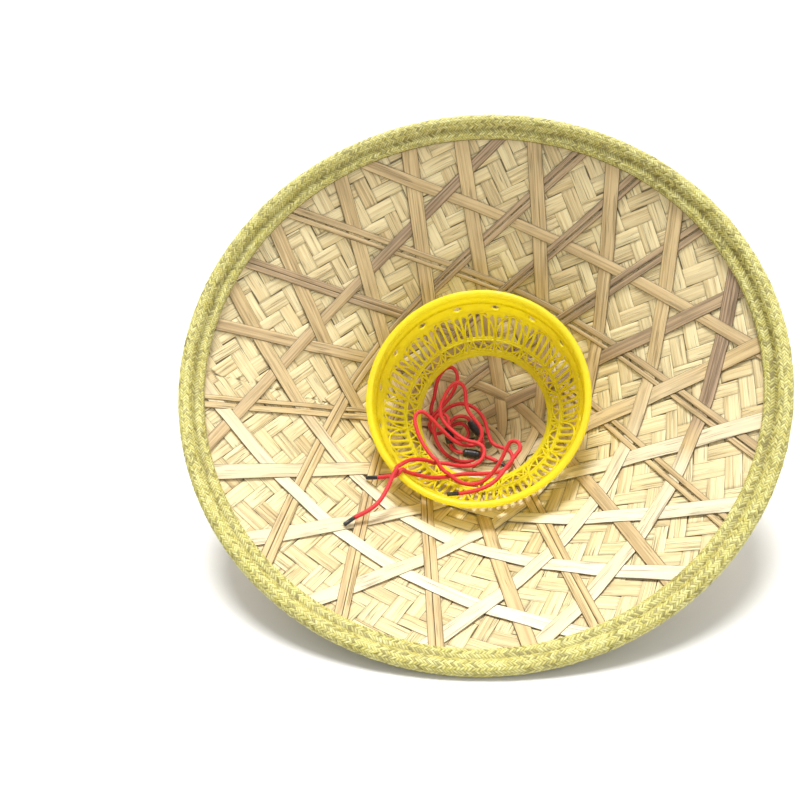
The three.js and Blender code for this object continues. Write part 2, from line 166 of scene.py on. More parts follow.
# ------------------------------------------------------------------ shared sizes, mm
ALPHA = 49.4 * DEG
SA, CA = math.sin(ALPHA), math.cos(ALPHA)
HEIGHT = 210 / math.tan(ALPHA)
FLAT = math.cos(math.pi / 64)            # the CAD wall is 64 facets; the round wall stays inside them
TURN = 49.36587 * DEG
R3 = np.array([[1, 0, 0], [0, -math.sin(TURN), math.cos(TURN)], [0, -math.cos(TURN), -math.sin(TURN)]])
SHIFT = np.array([0, -1.808, 143.189])

RING = dict(centre=np.array([0.6, 1.9, 65.8]), lean=(7.3, 3.5), mouth=88.8, corner=61.2, hole=55.5, depth=61.2, wall=1.9)


def world(p):
    """upright hat frame in mm to the lying frame in metres"""
    return (np.asarray(p, float).reshape(-1, 3) @ R3.T + SHIFT) / 1000


def wall(run, azimuth, off, flat=FLAT):
    """a point of the cone wall; offset outwards from the lattice's inner face"""
    run, azimuth, off = np.broadcast_arrays(*(np.asarray(a, float) for a in (run, azimuth, off)))
    r = (run * SA + off * CA) * flat
    return np.stack([r * np.cos(azimuth), r * np.sin(azimuth), HEIGHT - run * CA + off * SA], -1)


# ------------------------------------------------------------------ camera
RL = np.array([[0.99171, -0.02270, -0.12640], [-0.02694, 0.92558, -0.37757], [0.12556, 0.37785, 0.91731]])


def camera():
    data = bpy.data.cameras.new("camera")
    data.sensor_width = 36.0
    data.lens = 36.98
    data.clip_start, data.clip_end = 0.01, 60
    data.dof.use_dof = False
    obj = bpy.data.objects.new("camera", data)
    scene.collection.objects.link(obj)
    right, up, forward = (R3 @ (RL @ np.array(a, float)) for a in ((1, 0, 0), (0, -1, 0), (0, 0, 1)))
    forward /= np.linalg.norm(forward)
    right -= forward * (right @ forward)
    right /= np.linalg.norm(right)
    up = np.cross(right, forward)
    m = Matrix.Identity(4)
    for i in range(3):
        m[i][0], m[i][1], m[i][2] = right[i], up[i], -forward[i]
    m[0][3], m[1][3], m[2][3] = 0.0229, -0.5392, 0.3844
    obj.matrix_world = m
    scene.camera = obj


camera()


# ------------------------------------------------------------------ mesh helpers
def mesh_piece(name, verts, quads, tris=None, attrs=None, material=None, slot=None, replaces=(), smooth=True, metres=False):
    verts = np.asarray(verts, float).reshape(-1, 3)
    if not metres:
        verts = world(verts)
    quads = np.asarray(quads, np.int32).reshape(-1, 4)
    tris = np.zeros((0, 3), np.int32) if tris is None else np.asarray(tris, np.int32).reshape(-1, 3)
    me = bpy.data.meshes.new(name)
    me.vertices.add(len(verts))
    me.vertices.foreach_set("co", verts.astype(np.float32).ravel())
    me.loops.add(4 * len(quads) + 3 * len(tris))
    me.loops.foreach_set("vertex_index", np.concatenate([quads.ravel(), tris.ravel()]).astype(np.int32))
    me.polygons.add(len(quads) + len(tris))
    starts = np.concatenate([np.arange(len(quads)) * 4, 4 * len(quads) + np.arange(len(tris)) * 3])
    me.polygons.foreach_set("loop_start", starts.astype(np.int32))
    me.polygons.foreach_set("use_smooth", np.full(len(starts), bool(smooth)))
    me.update(calc_edges=True)
    me.validate()
    for key, value in (attrs or {}).items():
        value = np.asarray(value, np.float32)
        if value.ndim == 2:
            a = me.attributes.new(key, "FLOAT_VECTOR", "POINT")
            a.data.foreach_set("vector", value.ravel())
        else:
            a = me.attributes.new(key, "FLOAT", "POINT")
            a.data.foreach_set("value", value)
    form = bmesh.new()
    form.from_mesh(me)
    bmesh.ops.recalc_face_normals(form, faces=form.faces)
    form.to_mesh(me)
    form.free()
    obj = bpy.data.objects.new(name, me)
    scene.collection.objects.link(obj)
    if material is not None:
        me.materials.append(material)
    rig.ride(obj, "root")
    if slot:
        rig.slot(obj, slot)
    if replaces:
        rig.replaces(obj, *replaces)
    return obj


class Soup:
    """gathers parts of one joined mesh"""

    def __init__(self):
        self.v, self.q, self.t, self.a, self.n = [], [], [], {}, 0

    def add(self, verts, quads, tris=None, **attrs):
        verts = np.asarray(verts, float).reshape(-1, 3)
        self.v.append(verts)
        self.q.append(np.asarray(quads, int).reshape(-1, 4) + self.n)
        if tris is not None and len(tris):
            self.t.append(np.asarray(tris, int).reshape(-1, 3) + self.n)
        for key, value in attrs.items():
            value = np.asarray(value, float)
            if value.ndim == 0:
                value = np.full(len(verts), float(value))
            self.a.setdefault(key, []).append(value)
        self.n += len(verts)

    def piece(self, name, **kw):
        return mesh_piece(
            name, np.concatenate(self.v), np.concatenate(self.q), np.concatenate(self.t) if self.t else None,
            attrs={k: np.concatenate(v) for k, v in self.a.items()}, **kw)


def loop_quads(rows, cols, closed_rows=False, closed_cols=True):
    """quads of a grid of rows x cols vertices"""
    i = np.arange(rows if closed_rows else rows - 1)
    j = np.arange(cols if closed_cols else cols - 1)
    i, j = np.meshgrid(i, j, indexing="ij")
    a = i * cols + j
    b = i * cols + (j + 1) % cols
    c = ((i + 1) % rows) * cols + (j + 1) % cols
    d = ((i + 1) % rows) * cols + j
    return np.stack([a, b, c, d], -1).reshape(-1, 4)


CAP_QUADS = np.array([[1, 2, 3, 4], [1, 4, 6, 7]])
CAP_TRIS = np.array([[0, 1, 7], [4, 5, 6]])


def ribbon(soup, place, s, centre, width, height, thick, fibre, tone, dome=0.12, edge=0.3, painted_under_shade=None):
    """A flat strip. place(s, t, off) gives points; centre, width and height are arrays along s.
    Its section has eight corners: the side towards the inside of the hat is slightly domed."""
    n = len(s)
    w = width / 2
    t = np.stack([-w, -w + edge, -w / 3, w / 3, w - edge, w, w - edge, -w + edge], 1) + centre[:, None]
    h = thick / 2
    lift = np.array([0, -h, -h - dome, -h - dome, -h, 0, h, h])
    off = height[:, None] + lift[None, :]
    pts = place(np.repeat(s[:, None], 8, 1), t, off)
    quads = loop_quads(n, 8)
    last = (n - 1) * 8
    # side marks the edges and side faces, which the material darkens: painted shade for the dark lines where strips
    # meet and lie on one another
    side = np.tile(np.array([1, 0.12, 0, 0, 0.12, 1, 0.12, 0.12]), n)
    if painted_under_shade is None:
        hidden = np.zeros(n * 8)
    else:                                   # painted shade: strips are darker where they pass behind others, on either face
        hidden = np.stack([np.full(n, 0.6), painted_under_shade, painted_under_shade, painted_under_shade, painted_under_shade, np.full(n, 0.6), 1 - painted_under_shade, 1 - painted_under_shade], 1).ravel()
    along = np.repeat(s, 8)
    across = (t - centre[:, None]).ravel()
    soup.add(
        pts.reshape(-1, 3), np.concatenate([quads, CAP_QUADS, CAP_QUADS[:, ::-1] + last]),
        np.concatenate([CAP_TRIS, CAP_TRIS[:, ::-1] + last]),
        fibre=np.stack([along, across, np.full(n * 8, fibre)], 1), side=side, hidden=hidden,
        tone=np.repeat(tone if np.ndim(tone) else np.full(n, float(tone)), 8))


def smoothstep(x):
    x = np.clip(x, 0, 1)
    return x * x * (3 - 2 * x)


# ------------------------------------------------------------------ materials
class Nodes:
    def __init__(self, name):
        self.m = bpy.data.materials.new(name)
        self.m.use_nodes = True
        self.t = self.m.node_tree
        self.t.nodes.clear()
        self.out = self.t.nodes.new("ShaderNodeOutputMaterial")

    def new(self, kind, **kw):
        n = self.t.nodes.new(kind)
        for k, v in kw.items():
            setattr(n, k, v)
        return n

    def link(self, a, b):
        self.t.links.new(a, b)

    def put(self, socket, value):
        if isinstance(value, bpy.types.NodeSocket):
            self.link(value, socket)
        else:
            socket.default_value = value

    def math(self, op, a, b=0.0, c=0.0, clamp=False):
        n = self.new("ShaderNodeMath", operation=op, use_clamp=clamp)
        for s, v in zip(n.inputs, (a, b, c)):
            self.put(s, v)
        return n.outputs[0]

    def attr(self, name, out="Fac"):
        n = self.new("ShaderNodeAttribute", attribute_name=name)
        return n.outputs[out]

    def scaled(self, vector, scale):
        n = self.new("ShaderNodeVectorMath", operation="MULTIPLY")
        self.put(n.inputs[0], vector)
        n.inputs[1].default_value = scale
        return n.outputs[0]

    def noise(self, vector, scale=1.0, detail=2.0, rough=0.5):
        n = self.new("ShaderNodeTexNoise")
        self.put(n.inputs["Vector"], vector)
        n.inputs["Scale"].default_value = scale
        n.inputs["Detail"].default_value = detail
        n.inputs["Roughness"].default_value = rough
        return n.outputs["Fac"]

    def mix(self, fac, a, b, blend="MIX"):
        n = self.new("ShaderNodeMix", data_type="RGBA", blend_type=blend)
        self.put(n.inputs[0], fac)
        self.put(n.inputs[6], a if isinstance(a, bpy.types.NodeSocket) else (*a, 1))
        self.put(n.inputs[7], b if isinstance(b, bpy.types.NodeSocket) else (*b, 1))
        return n.outputs[2]

    def span(self, value, lo, hi, to_lo=0.0, to_hi=1.0):
        n = self.new("ShaderNodeMapRange", clamp=True)
        self.put(n.inputs["Value"], value)
        for key, v in (("From Min", lo), ("From Max", hi), ("To Min", to_lo), ("To Max", to_hi)):
            n.inputs[key].default_value = v
        return n.outputs["Result"]

    def bump(self, height, distance, strength=1.0):
        n = self.new("ShaderNodeBump")
        self.put(n.inputs["Height"], height)
        n.inputs["Distance"].default_value = distance
        n.inputs["Strength"].default_value = strength
        return n.outputs["Normal"]


def srgb(r, g, b):
    return tuple(((c / 255) / 12.92 if c <= 10 else (((c / 255) + 0.055) / 1.055) ** 2.4) for c in (r, g, b))


def bamboo(name, light, mid, dark, strip_tone, painted_highlight, rough=0.5, groove=1.0, through=0.15, crack_dark=0.6, shade=0.5):
    """Split bamboo: fibres along the strip, fine splits, tone from strip to strip; painted shade on edges and side
    faces and where strips pass behind others; a painted highlight where the tone is below zero.
    """
    k = Nodes(name)
    fibre = k.attr("fibre", "Vector")
    tone = k.attr("tone")
    side = k.attr("side")
    fine = k.noise(k.scaled(fibre, (0.02, 2.6, 7.1)), 1.0, 3.0, 0.65)
    broad = k.noise(k.scaled(fibre, (0.010, 0.62, 3.3)), 1.0, 2.0, 0.6)
    blotch = k.noise(k.scaled(fibre, (0.05, 0.10, 5.7)), 1.0, 3.0, 0.6)
    lines = k.noise(k.scaled(fibre, (0.010, 0.85, 11.3)), 1.0, 1.0, 0.4)
    crack = k.math("SUBTRACT", 1.0, k.span(k.math("ABSOLUTE", k.math("SUBTRACT", lines, 0.5)), 0.004, 0.026))
    gate = k.span(k.noise(k.scaled(fibre, (0.035, 0.25, 2.9)), 1.0, 1.0), 0.44, 0.53)
    crack = k.math("MULTIPLY", crack, gate)
    base = k.mix(k.span(fine, 0.34, 0.66), mid, light)
    base = k.mix(k.math("MULTIPLY", k.span(broad, 0.48, 0.60), 0.62), base, dark)
    base = k.mix(k.math("MULTIPLY", k.span(blotch, 0.5, 0.75), 0.2), base, dark)
    # negative tone turns the colour pale: a painted highlight on the splints where the top light falls
    base = k.mix(k.math("MULTIPLY", k.math("MINIMUM", tone, 0.0), -1.0), base, painted_highlight)
    tone = k.math("MAXIMUM", tone, 0.0)
    base = k.mix(tone, base, strip_tone)
    streak = k.math("MULTIPLY", k.span(k.noise(k.scaled(fibre, (0.006, 0.8, 1.7)), 1.0, 2.0), 0.5, 0.56), k.math("MULTIPLY", tone, 0.7))
    base = k.mix(streak, base, tuple(c * 0.42 for c in strip_tone))
    base = k.mix(k.math("MULTIPLY", crack, crack_dark), base, tuple(c * 0.3 for c in dark))
    # painted shade on the edges and side faces
    base = k.mix(k.math("MULTIPLY", k.span(side, 0.1, 0.9), 0.92), base, tuple(c * 0.15 for c in dark))
    # painted shade where strips pass behind others
    base = k.mix(k.math("MULTIPLY", k.attr("hidden"), shade), base, tuple(c * 0.2 for c in dark))
    p = k.new("ShaderNodeBsdfPrincipled")
    k.link(base, p.inputs["Base Color"])
    k.put(p.inputs["Roughness"], k.span(fine, 0.2, 0.8, rough + 0.12, rough - 0.1))
    p.inputs["Specular IOR Level"].default_value = 0.45
    height = k.math("ADD", k.math("MULTIPLY", fine, 0.5), k.math("MULTIPLY", broad, 0.7))
    height = k.math("SUBTRACT", height, k.math("MULTIPLY", crack, 0.9))
    k.link(k.bump(height, 0.0003 * groove), p.inputs["Normal"])
    tr = k.new("ShaderNodeBsdfTranslucent")
    k.link(base, tr.inputs["Color"])
    m = k.new("ShaderNodeMixShader")
    m.inputs[0].default_value = through
    k.link(p.outputs[0], m.inputs[1])
    k.link(tr.outputs[0], m.inputs[2])
    k.link(m.outputs[0], k.out.inputs[0])
    return k.m


weave_inner = bamboo("bamboo_weave", srgb(250, 237, 194), srgb(243, 226, 176), srgb(224, 198, 144), srgb(200, 166, 112), srgb(255, 246, 214), groove=1.3, through=0.12, crack_dark=0.72, shade=0.92)
splint_mat = bamboo("bamboo_splint", srgb(224, 200, 152), srgb(212, 188, 140), srgb(176, 148, 102), srgb(182, 156, 128), srgb(255, 247, 222), rough=0.46, groove=1.4, through=0.06, crack_dark=0.4)


def straw():
    k = Nodes("straw_braid")
    fibre = k.attr("fibre", "Vector")
    tone = k.attr("tone")
    fine = k.noise(k.scaled(fibre, (0.5, 6.0, 3.1)), 1.0, 2.0, 0.6)
    blotch = k.noise(k.scaled(fibre, (0.02, 0.02, 0.0)), 1.0, 2.0, 0.6)
    base = k.mix(k.span(fine, 0.3, 0.7), srgb(190, 180, 88), srgb(226, 219, 124))
    base = k.mix(k.math("MULTIPLY", k.span(blotch, 0.45, 0.7), 0.3), base, srgb(170, 152, 80))
    # tone lightens the strands: varied along the winding and from strand to strand, and a painted highlight along the
    # band's edges
    base = k.mix(tone, base, srgb(242, 238, 168))
    # side darkens: painted shade in dips, creases, gaps and under windings; on the rim it also marks random dull
    # strands
    base = k.mix(k.math("MULTIPLY", k.attr("side"), 0.82), base, srgb(84, 70, 26))
    p = k.new("ShaderNodeBsdfPrincipled")
    k.link(base, p.inputs["Base Color"])
    k.put(p.inputs["Roughness"], k.span(fine, 0.2, 0.8, 0.52, 0.38))
    p.inputs["Specular IOR Level"].default_value = 0.4
    k.link(k.bump(fine, 0.0002), p.inputs["Normal"])
    k.link(p.outputs[0], k.out.inputs[0])
    return k.m


def yellow_plastic():
    k = Nodes("yellow_plastic")
    geo = k.new("ShaderNodeTexCoord")
    big = k.noise(geo.outputs["Object"], 18.0, 2.0)
    small = k.noise(geo.outputs["Object"], 160.0, 2.0)
    base = k.mix(k.span(big, 0.35, 0.65), srgb(250, 243, 72), srgb(253, 249, 66))
    p = k.new("ShaderNodeBsdfPrincipled")
    k.link(base, p.inputs["Base Color"])
    k.put(p.inputs["Roughness"], k.span(small, 0.3, 0.7, 0.22, 0.32))
    p.inputs["Specular IOR Level"].default_value = 0.5
    k.link(k.bump(small, 0.0002, 0.5), p.inputs["Normal"])
    tr = k.new("ShaderNodeBsdfTranslucent")
    k.link(k.mix(1.0, base, srgb(255, 250, 170), "MULTIPLY"), tr.inputs["Color"])
    m = k.new("ShaderNodeMixShader")
    m.inputs[0].default_value = 0.58
    k.link(p.outputs[0], m.inputs[1])
    k.link(tr.outputs[0], m.inputs[2])
    k.link(m.outputs[0], k.out.inputs[0])
    return k.m


def cord_material():
    k = Nodes("red_cord")
    fibre = k.attr("fibre", "Vector")
    fine = k.noise(k.scaled(fibre, (1.4, 2.4, 1.0)), 1.0, 2.0)
    fade = k.noise(k.scaled(fibre, (0.03, 0.05, 1.0)), 1.0, 2.0)
    base = k.mix(k.span(fine, 0.3, 0.7), srgb(200, 22, 36), srgb(236, 48, 58))
    base = k.mix(k.math("MULTIPLY", k.span(fade, 0.4, 0.7), 0.25), base, srgb(240, 76, 88))
    # side: painted shade in the grooves between the strands
    base = k.mix(k.math("MULTIPLY", k.attr("side"), 0.7), base, srgb(120, 8, 18))
    p = k.new("ShaderNodeBsdfPrincipled")
    k.link(base, p.inputs["Base Color"])
    k.put(p.inputs["Roughness"], k.span(fine, 0.3, 0.7, 0.62, 0.5))
    p.inputs["Sheen Weight"].default_value = 0.35
    p.inputs["Sheen Roughness"].default_value = 0.4
    p.inputs["Sheen Tint"].default_value = (1.0, 0.6, 0.6, 1)
    k.link(k.bump(fine, 0.0002), p.inputs["Normal"])
    k.link(p.outputs[0], k.out.inputs[0])
    return k.m


def black_plastic():
    k = Nodes("black_plastic")
    geo = k.new("ShaderNodeTexCoord")
    small = k.noise(geo.outputs["Object"], 900.0, 2.0)
    p = k.new("ShaderNodeBsdfPrincipled")
    k.link(k.mix(k.span(small, 0.3, 0.7), srgb(18, 18, 21), srgb(38, 37, 40)), p.inputs["Base Color"])
    k.put(p.inputs["Roughness"], k.span(small, 0.3, 0.7, 0.28, 0.42))
    k.link(k.bump(small, 0.0001, 0.5), p.inputs["Normal"])
    k.link(p.outputs[0], k.out.inputs[0])
    return k.m


straw_mat = straw()
plastic_mat = yellow_plastic()
red_mat = cord_material()
black_mat = black_plastic()

# ------------------------------------------------------------------ tie cords, as they lie: mm in the lying frame
ROUTE_1 = [
    (-87.6, 6.3, 38.0), (-77.5, 3.7, 39.8), (-67.8, 1.2, 42.3), (-64.7, -1.4, 43.7), (-63.2, -2.7, 45.1),
    (-60.7, -2.9, 46.9), (-58.6, -1.1, 48.4), (-57.3, 1.6, 48.4), (-55.1, 5.8, 43.6), (-45.7, 12.1, 36.0),
    (-36.1, 19.6, 29.0), (-27.2, 28.5, 23.8), (-25.6, 30.2, 22.9), (-13.2, 37.4, 20.6), (-0.2, 43.3, 17.0),
    (13.3, 49.0, 14.4), (20.0, 52.3, 14.4), (25.6, 56.7, 16.5), (27.7, 60.2, 19.2), (27.9, 64.0, 22.3),
    (25.5, 67.3, 24.8), (19.2, 70.7, 26.2), (14.7, 72.7, 26.9), (11.1, 75.3, 28.9), (8.4, 80.3, 33.7),
    (5.3, 88.5, 42.6), (1.6, 92.9, 47.4), (-3.7, 96.5, 51.3), (-10.4, 99.0, 53.6), (-17.8, 100.0, 53.6),
    (-24.9, 99.7, 51.2), (-29.1, 98.9, 48.5), (-32.4, 97.6, 45.2), (-34.6, 97.2, 44.0), (-37.0, 97.4, 43.4),
    (-39.3, 98.1, 43.9), (-41.0, 98.5, 45.5), (-41.9, 99.6, 47.6), (-41.0, 102.1, 51.8), (-38.8, 105.7, 58.0),
    (-36.2, 111.3, 68.9), (-33.2, 114.4, 75.0), (-28.4, 117.0, 80.0), (-26.2, 117.5, 80.9), (-23.8, 117.6, 81.0),
    (-21.5, 117.3, 80.2), (-19.8, 116.5, 78.6), (-18.1, 114.5, 74.6), (-18.8, 111.0, 68.1), (-23.2, 106.2, 60.5),
    (-30.7, 100.5, 52.4), (-39.4, 94.4, 45.6), (-41.9, 92.7, 41.6), (-42.9, 90.3, 37.2), (-40.8, 88.3, 33.2),
    (-39.0, 88.0, 31.6), (-36.6, 88.1, 31.0), (-32.0, 89.4, 31.7), (-25.7, 92.3, 34.6), (-19.0, 93.8, 37.5),
    (-14.2, 93.6, 37.1), (-10.7, 92.2, 34.3), (-9.1, 89.7, 30.6), (-9.5, 88.3, 28.6), (-10.8, 87.0, 27.0),
    (-12.8, 86.1, 26.0), (-15.2, 85.5, 25.7), (-19.7, 85.6, 27.2), (-23.3, 86.6, 30.4), (-25.3, 88.0, 34.5),
    (-25.6, 88.8, 36.8), (-24.2, 91.4, 40.6), (-20.7, 93.1, 43.5), (-16.1, 93.9, 44.7), (-11.3, 93.7, 43.9),
    (-9.2, 93.1, 42.8), (-7.7, 92.1, 41.1), (0.7, 86.1, 30.3), (2.8, 84.0, 26.5), (2.7, 80.1, 20.2),
    (0.8, 77.5, 16.3), (-2.5, 75.4, 13.4), (-9.3, 73.2, 11.1), (-16.8, 72.6, 11.7), (-26.0, 73.7, 15.8),
    (-31.5, 75.5, 20.6), (-35.5, 77.9, 26.5), (-37.9, 80.6, 33.1), (-38.4, 83.5, 40.0), (-37.1, 86.3, 46.6),
    (-35.8, 87.1, 48.6), (-33.8, 87.5, 50.0), (-31.5, 87.5, 50.7), (-29.1, 86.9, 50.4), (-27.2, 85.9, 49.4),
    (-26.0, 84.6, 47.7), (-25.7, 80.1, 42.0), (-24.4, 72.2, 32.3), (-24.1, 70.7, 30.4), (-23.7, 69.1, 28.5),
    (-20.2, 66.9, 26.0), (-13.2, 65.0, 24.8), (-0.8, 62.2, 24.0), (1.6, 61.7, 23.9), (10.7, 58.7, 22.3),
    (15.1, 56.7, 21.0), (23.3, 51.9, 18.3),
]
ROUTE_2 = [
    (-96.8, -49.3, 32.6), (-90.2, -41.9, 33.7), (-80.8, -33.7, 34.4), (-74.1, -26.6, 36.4), (-69.2, -18.8, 40.4),
    (-64.5, -8.7, 47.0), (-62.6, -4.9, 49.9), (-61.2, -3.1, 51.5), (-61.6, -0.6, 51.2), (-60.2, 3.6, 50.5),
    (-59.4, 7.6, 48.8), (-55.0, 17.4, 46.3), (-48.4, 25.9, 42.5), (-39.2, 34.0, 35.8), (-36.5, 36.5, 32.5),
    (-34.5, 37.8, 31.7), (-27.9, 39.9, 29.9), (-14.7, 43.7, 24.8), (-5.5, 46.9, 23.1), (0.7, 50.5, 24.4),
    (3.7, 53.6, 26.7), (5.0, 57.0, 29.7), (3.9, 60.3, 32.8), (0.2, 62.7, 34.8), (-11.4, 66.5, 36.9),
    (-21.4, 71.6, 42.4), (-28.1, 75.9, 47.8), (-31.5, 79.8, 53.3), (-31.8, 84.0, 59.3), (-29.4, 88.0, 65.0),
    (-23.0, 93.9, 73.6), (-19.2, 95.7, 76.0), (-16.8, 96.1, 76.2), (-14.5, 96.0, 75.5), (-12.6, 95.5, 74.1),
    (-10.8, 93.7, 70.0), (-9.6, 87.0, 56.9), (-6.2, 83.8, 51.2), (1.2, 78.6, 42.8), (2.8, 76.0, 39.0),
    (2.6, 73.2, 35.1), (0.1, 70.6, 31.9), (-4.0, 68.7, 30.2), (-8.7, 67.7, 30.3), (-15.8, 67.1, 32.4),
    (-22.0, 67.5, 36.5), (-32.1, 69.7, 47.0), (-40.2, 71.0, 56.5), (-43.5, 71.3, 60.1), (-45.4, 71.1, 61.5),
    (-47.6, 70.5, 62.3), (-49.7, 69.3, 62.2), (-51.3, 67.7, 61.3), (-52.3, 64.2, 58.1), (-49.4, 55.7, 49.7),
    (-44.1, 47.4, 42.4), (-37.0, 39.5, 36.5), (-33.6, 36.0, 35.4), (-31.3, 33.9, 31.4), (-26.4, 30.7, 27.3),
    (-24.4, 29.5, 26.8), (-19.0, 27.5, 22.4), (-12.1, 25.9, 19.3), (-4.7, 25.4, 18.4), (2.6, 26.4, 20.0),
    (8.8, 28.4, 23.8), (16.6, 32.7, 32.4), (23.5, 37.8, 44.5), (25.8, 39.3, 48.5), (27.8, 39.3, 50.0),
    (30.0, 38.7, 50.7), (32.1, 37.4, 50.6), (33.6, 35.7, 49.7), (34.2, 33.8, 48.3), (33.9, 32.0, 46.7),
    (31.0, 29.2, 44.0), (22.2, 20.5, 36.1), (14.6, 13.0, 30.4), (7.0, 7.7, 27.8), (-3.6, 2.2, 27.1),
    (-14.4, -2.7, 28.3), (-22.9, -6.5, 30.3),
]
LOCKS = {"cord_lock_1": (101, 103), "cord_lock_2": (76, 77), "cord_lock_3": (96, 98)}


def rounded(points, step):
    """an even line through the rows"""
    p = np.asarray(points, float)
    q = np.concatenate([[2 * p[0] - p[1]], p, [2 * p[-1] - p[-2]]])
    out = []
    for i in range(1, len(q) - 2):
        a, b, c, d = q[i - 1:i + 3]
        ta, tb, tc = (max(np.linalg.norm(y - x), 1e-6) ** 0.5 for x, y in ((a, b), (b, c), (c, d)))
        m1 = (b - a) / ta - (c - a) / (ta + tb) + (c - b) / tb
        m2 = (c - b) / tb - (d - b) / (tb + tc) + (d - c) / tc
        m1, m2 = m1 * tb, m2 * tb
        u = np.linspace(0, 1, 24, endpoint=False)[:, None]
        out.append((2 * u**3 - 3 * u**2 + 1) * b + (u**3 - 2 * u**2 + u) * m1 + (3 * u**2 - 2 * u**3) * c + (u**3 - u**2) * m2)
    out = np.concatenate(out + [p[-1:]])
    arc = np.concatenate([[0], np.cumsum(np.linalg.norm(np.diff(out, axis=0), axis=1))])
    n = max(2, int(round(arc[-1] / step)) + 1)
    want = np.linspace(0, arc[-1], n)
    return np.stack([np.interp(want, arc, out[:, i]) for i in range(3)], 1), want


def frames(p):
    """tangent and two sides along a line, turned as little as possible"""
    t = np.gradient(p, axis=0)
    t /= np.linalg.norm(t, axis=1)[:, None]
    a = np.zeros_like(t)
    start = np.cross(t[0], [0, 0, 1.0])
    if np.linalg.norm(start) < 0.1:
        start = np.cross(t[0], [0, 1.0, 0])
    a[0] = start / np.linalg.norm(start)
    for i in range(1, len(t)):
        v = a[i - 1] - t[i] * (a[i - 1] @ t[i])
        a[i] = v / np.linalg.norm(v)
    return t, a, np.cross(t, a)


def braided_cord(name, rows, seed):
    line, arc = rounded(rows[1:-1], 0.45)
    t, a, b = frames(line)
    sides = 24
    th = np.arange(sides) * 2 * math.pi / sides
    z = arc[:, None]
    strands, lay = 6, 7.2
    one = np.cos(strands * th[None, :] + 2 * math.pi * strands * z / lay / 2)
    two = np.cos(strands * th[None, :] - 2 * math.pi * strands * z / lay / 2)
    weave = np.maximum(one, two)
    r = 1.7 - 0.13 + 0.13 * weave
    r[0], r[-1] = 1.45, 1.45
    ring = np.cos(th)[None, :, None] * a[:, None, :] + np.sin(th)[None, :, None] * b[:, None, :]
    v = line[:, None, :] + ring * r[..., None]
    quads = loop_quads(len(line), sides)
    n = len(line) * sides
    verts = np.concatenate([v.reshape(-1, 3), line[:1] - t[:1] * 0.1, line[-1:] + t[-1:] * 0.1])
    j = np.arange(sides)
    tris = np.concatenate([np.stack([(j + 1) % sides, j, np.full(sides, n)], 1),
                           np.stack([n - sides + j, n - sides + (j + 1) % sides, np.full(sides, n + 1)], 1)])
    fibre = np.stack([np.repeat(arc, sides), np.tile(th * 1.5, len(line)), np.full(n, float(seed))], 1)
    fibre = np.concatenate([fibre, fibre[:2]])
    # side: darker in the grooves between the braid's strands: painted shade
    side = np.concatenate([(0.5 - 0.5 * weave).clip(0, 1).ravel() ** 1.3, [0, 0]])
    obj = mesh_piece(name, verts / 1000, quads, tris, dict(fibre=fibre, side=side), red_mat, "cord", metres=True)
    return obj, line / 1000


def turned_on(name, a, b, profile, node, sides=32):
    """solid of revolution between two points, mm; the profile is a closed list of (radius, height)"""
    a, b = np.asarray(a, float), np.asarray(b, float)
    d = (b - a) / np.linalg.norm(b - a)
    s = np.cross(d, [0, 0, 1.0]); s /= np.linalg.norm(s); u = np.cross(d, s)
    th = np.arange(sides) * 2 * math.pi / sides
    v = np.concatenate([a + d * h + r * (np.cos(th)[:, None] * s + np.sin(th)[:, None] * u) for r, h in profile])
    obj = mesh_piece(name, v / 1000, loop_quads(len(profile), sides, closed_rows=True), None, {}, black_mat, "black_plastic", (node,), metres=True)
    return obj


def aglet(name, a, b, node):
    """a moulded tip, crimped in two places"""
    length = float(np.linalg.norm(np.subtract(b, a)))
    prof = [(0.02, 0.3), (1.45, 0.3), (1.6, 0.5), (1.6, 1.6), (1.52, 1.8), (1.52, 2.1), (1.6, 2.3), (1.6, length - 2.6),
            (1.5, length - 2.3), (1.5, length - 1.9), (1.6, length - 1.7), (1.6, length - 0.6), (1.35, length - 0.2), (0.9, length), (0.02, length)]
    return turned_on(name, a, b, prof, node, 24)


def lock(name, a, b, node):
    """a barrel cord lock: ribbed body, mouldings at the ends, bore through it"""
    length = float(np.linalg.norm(np.subtract(b, a)))
    prof = [(2.25, 0.0), (2.6, 0.0), (3.0, 0.3), (3.5, 1.4), (3.7, 2.2), (3.75, 3.2), (3.6, 3.5), (3.75, 3.8)]
    for k in range(5):
        h = 4.2 + (length - 8.4) * k / 4
        prof += [(4.15, h - 0.35), (4.2, h), (4.15, h + 0.35), (3.95, h + 0.7)]
    prof = prof[:-1] + [(3.75, length - 3.8), (3.6, length - 3.5), (3.75, length - 3.2), (3.7, length - 2.2), (3.5, length - 1.4), (3.0, length - 0.3), (2.6, length), (2.25, length)]
    return turned_on(name, a, b, prof, node)


cord_1, line_1 = braided_cord("red_cord_1", ROUTE_1, 1)
cord_2, line_2 = braided_cord("red_cord_2", ROUTE_2, 2)
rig.replaces(cord_1, "tie_cord_1")
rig.replaces(cord_2, "tie_cord_2")
tips = {}
for label, rows in (("1", ROUTE_1), ("2", ROUTE_2)):
    tips[label] = [aglet(f"cord_tip_{label}a", rows[1], rows[0], f"aglet_{label}a"),
                   aglet(f"cord_tip_{label}b", rows[-2], rows[-1], f"aglet_{label}b")]
stops = [lock(f"stopper_{name[-1]}", ROUTE_1[i], ROUTE_1[j], name) for name, (i, j) in LOCKS.items()]


def length_of(line):
    return float(np.linalg.norm(np.diff(line, axis=0), axis=1).sum())


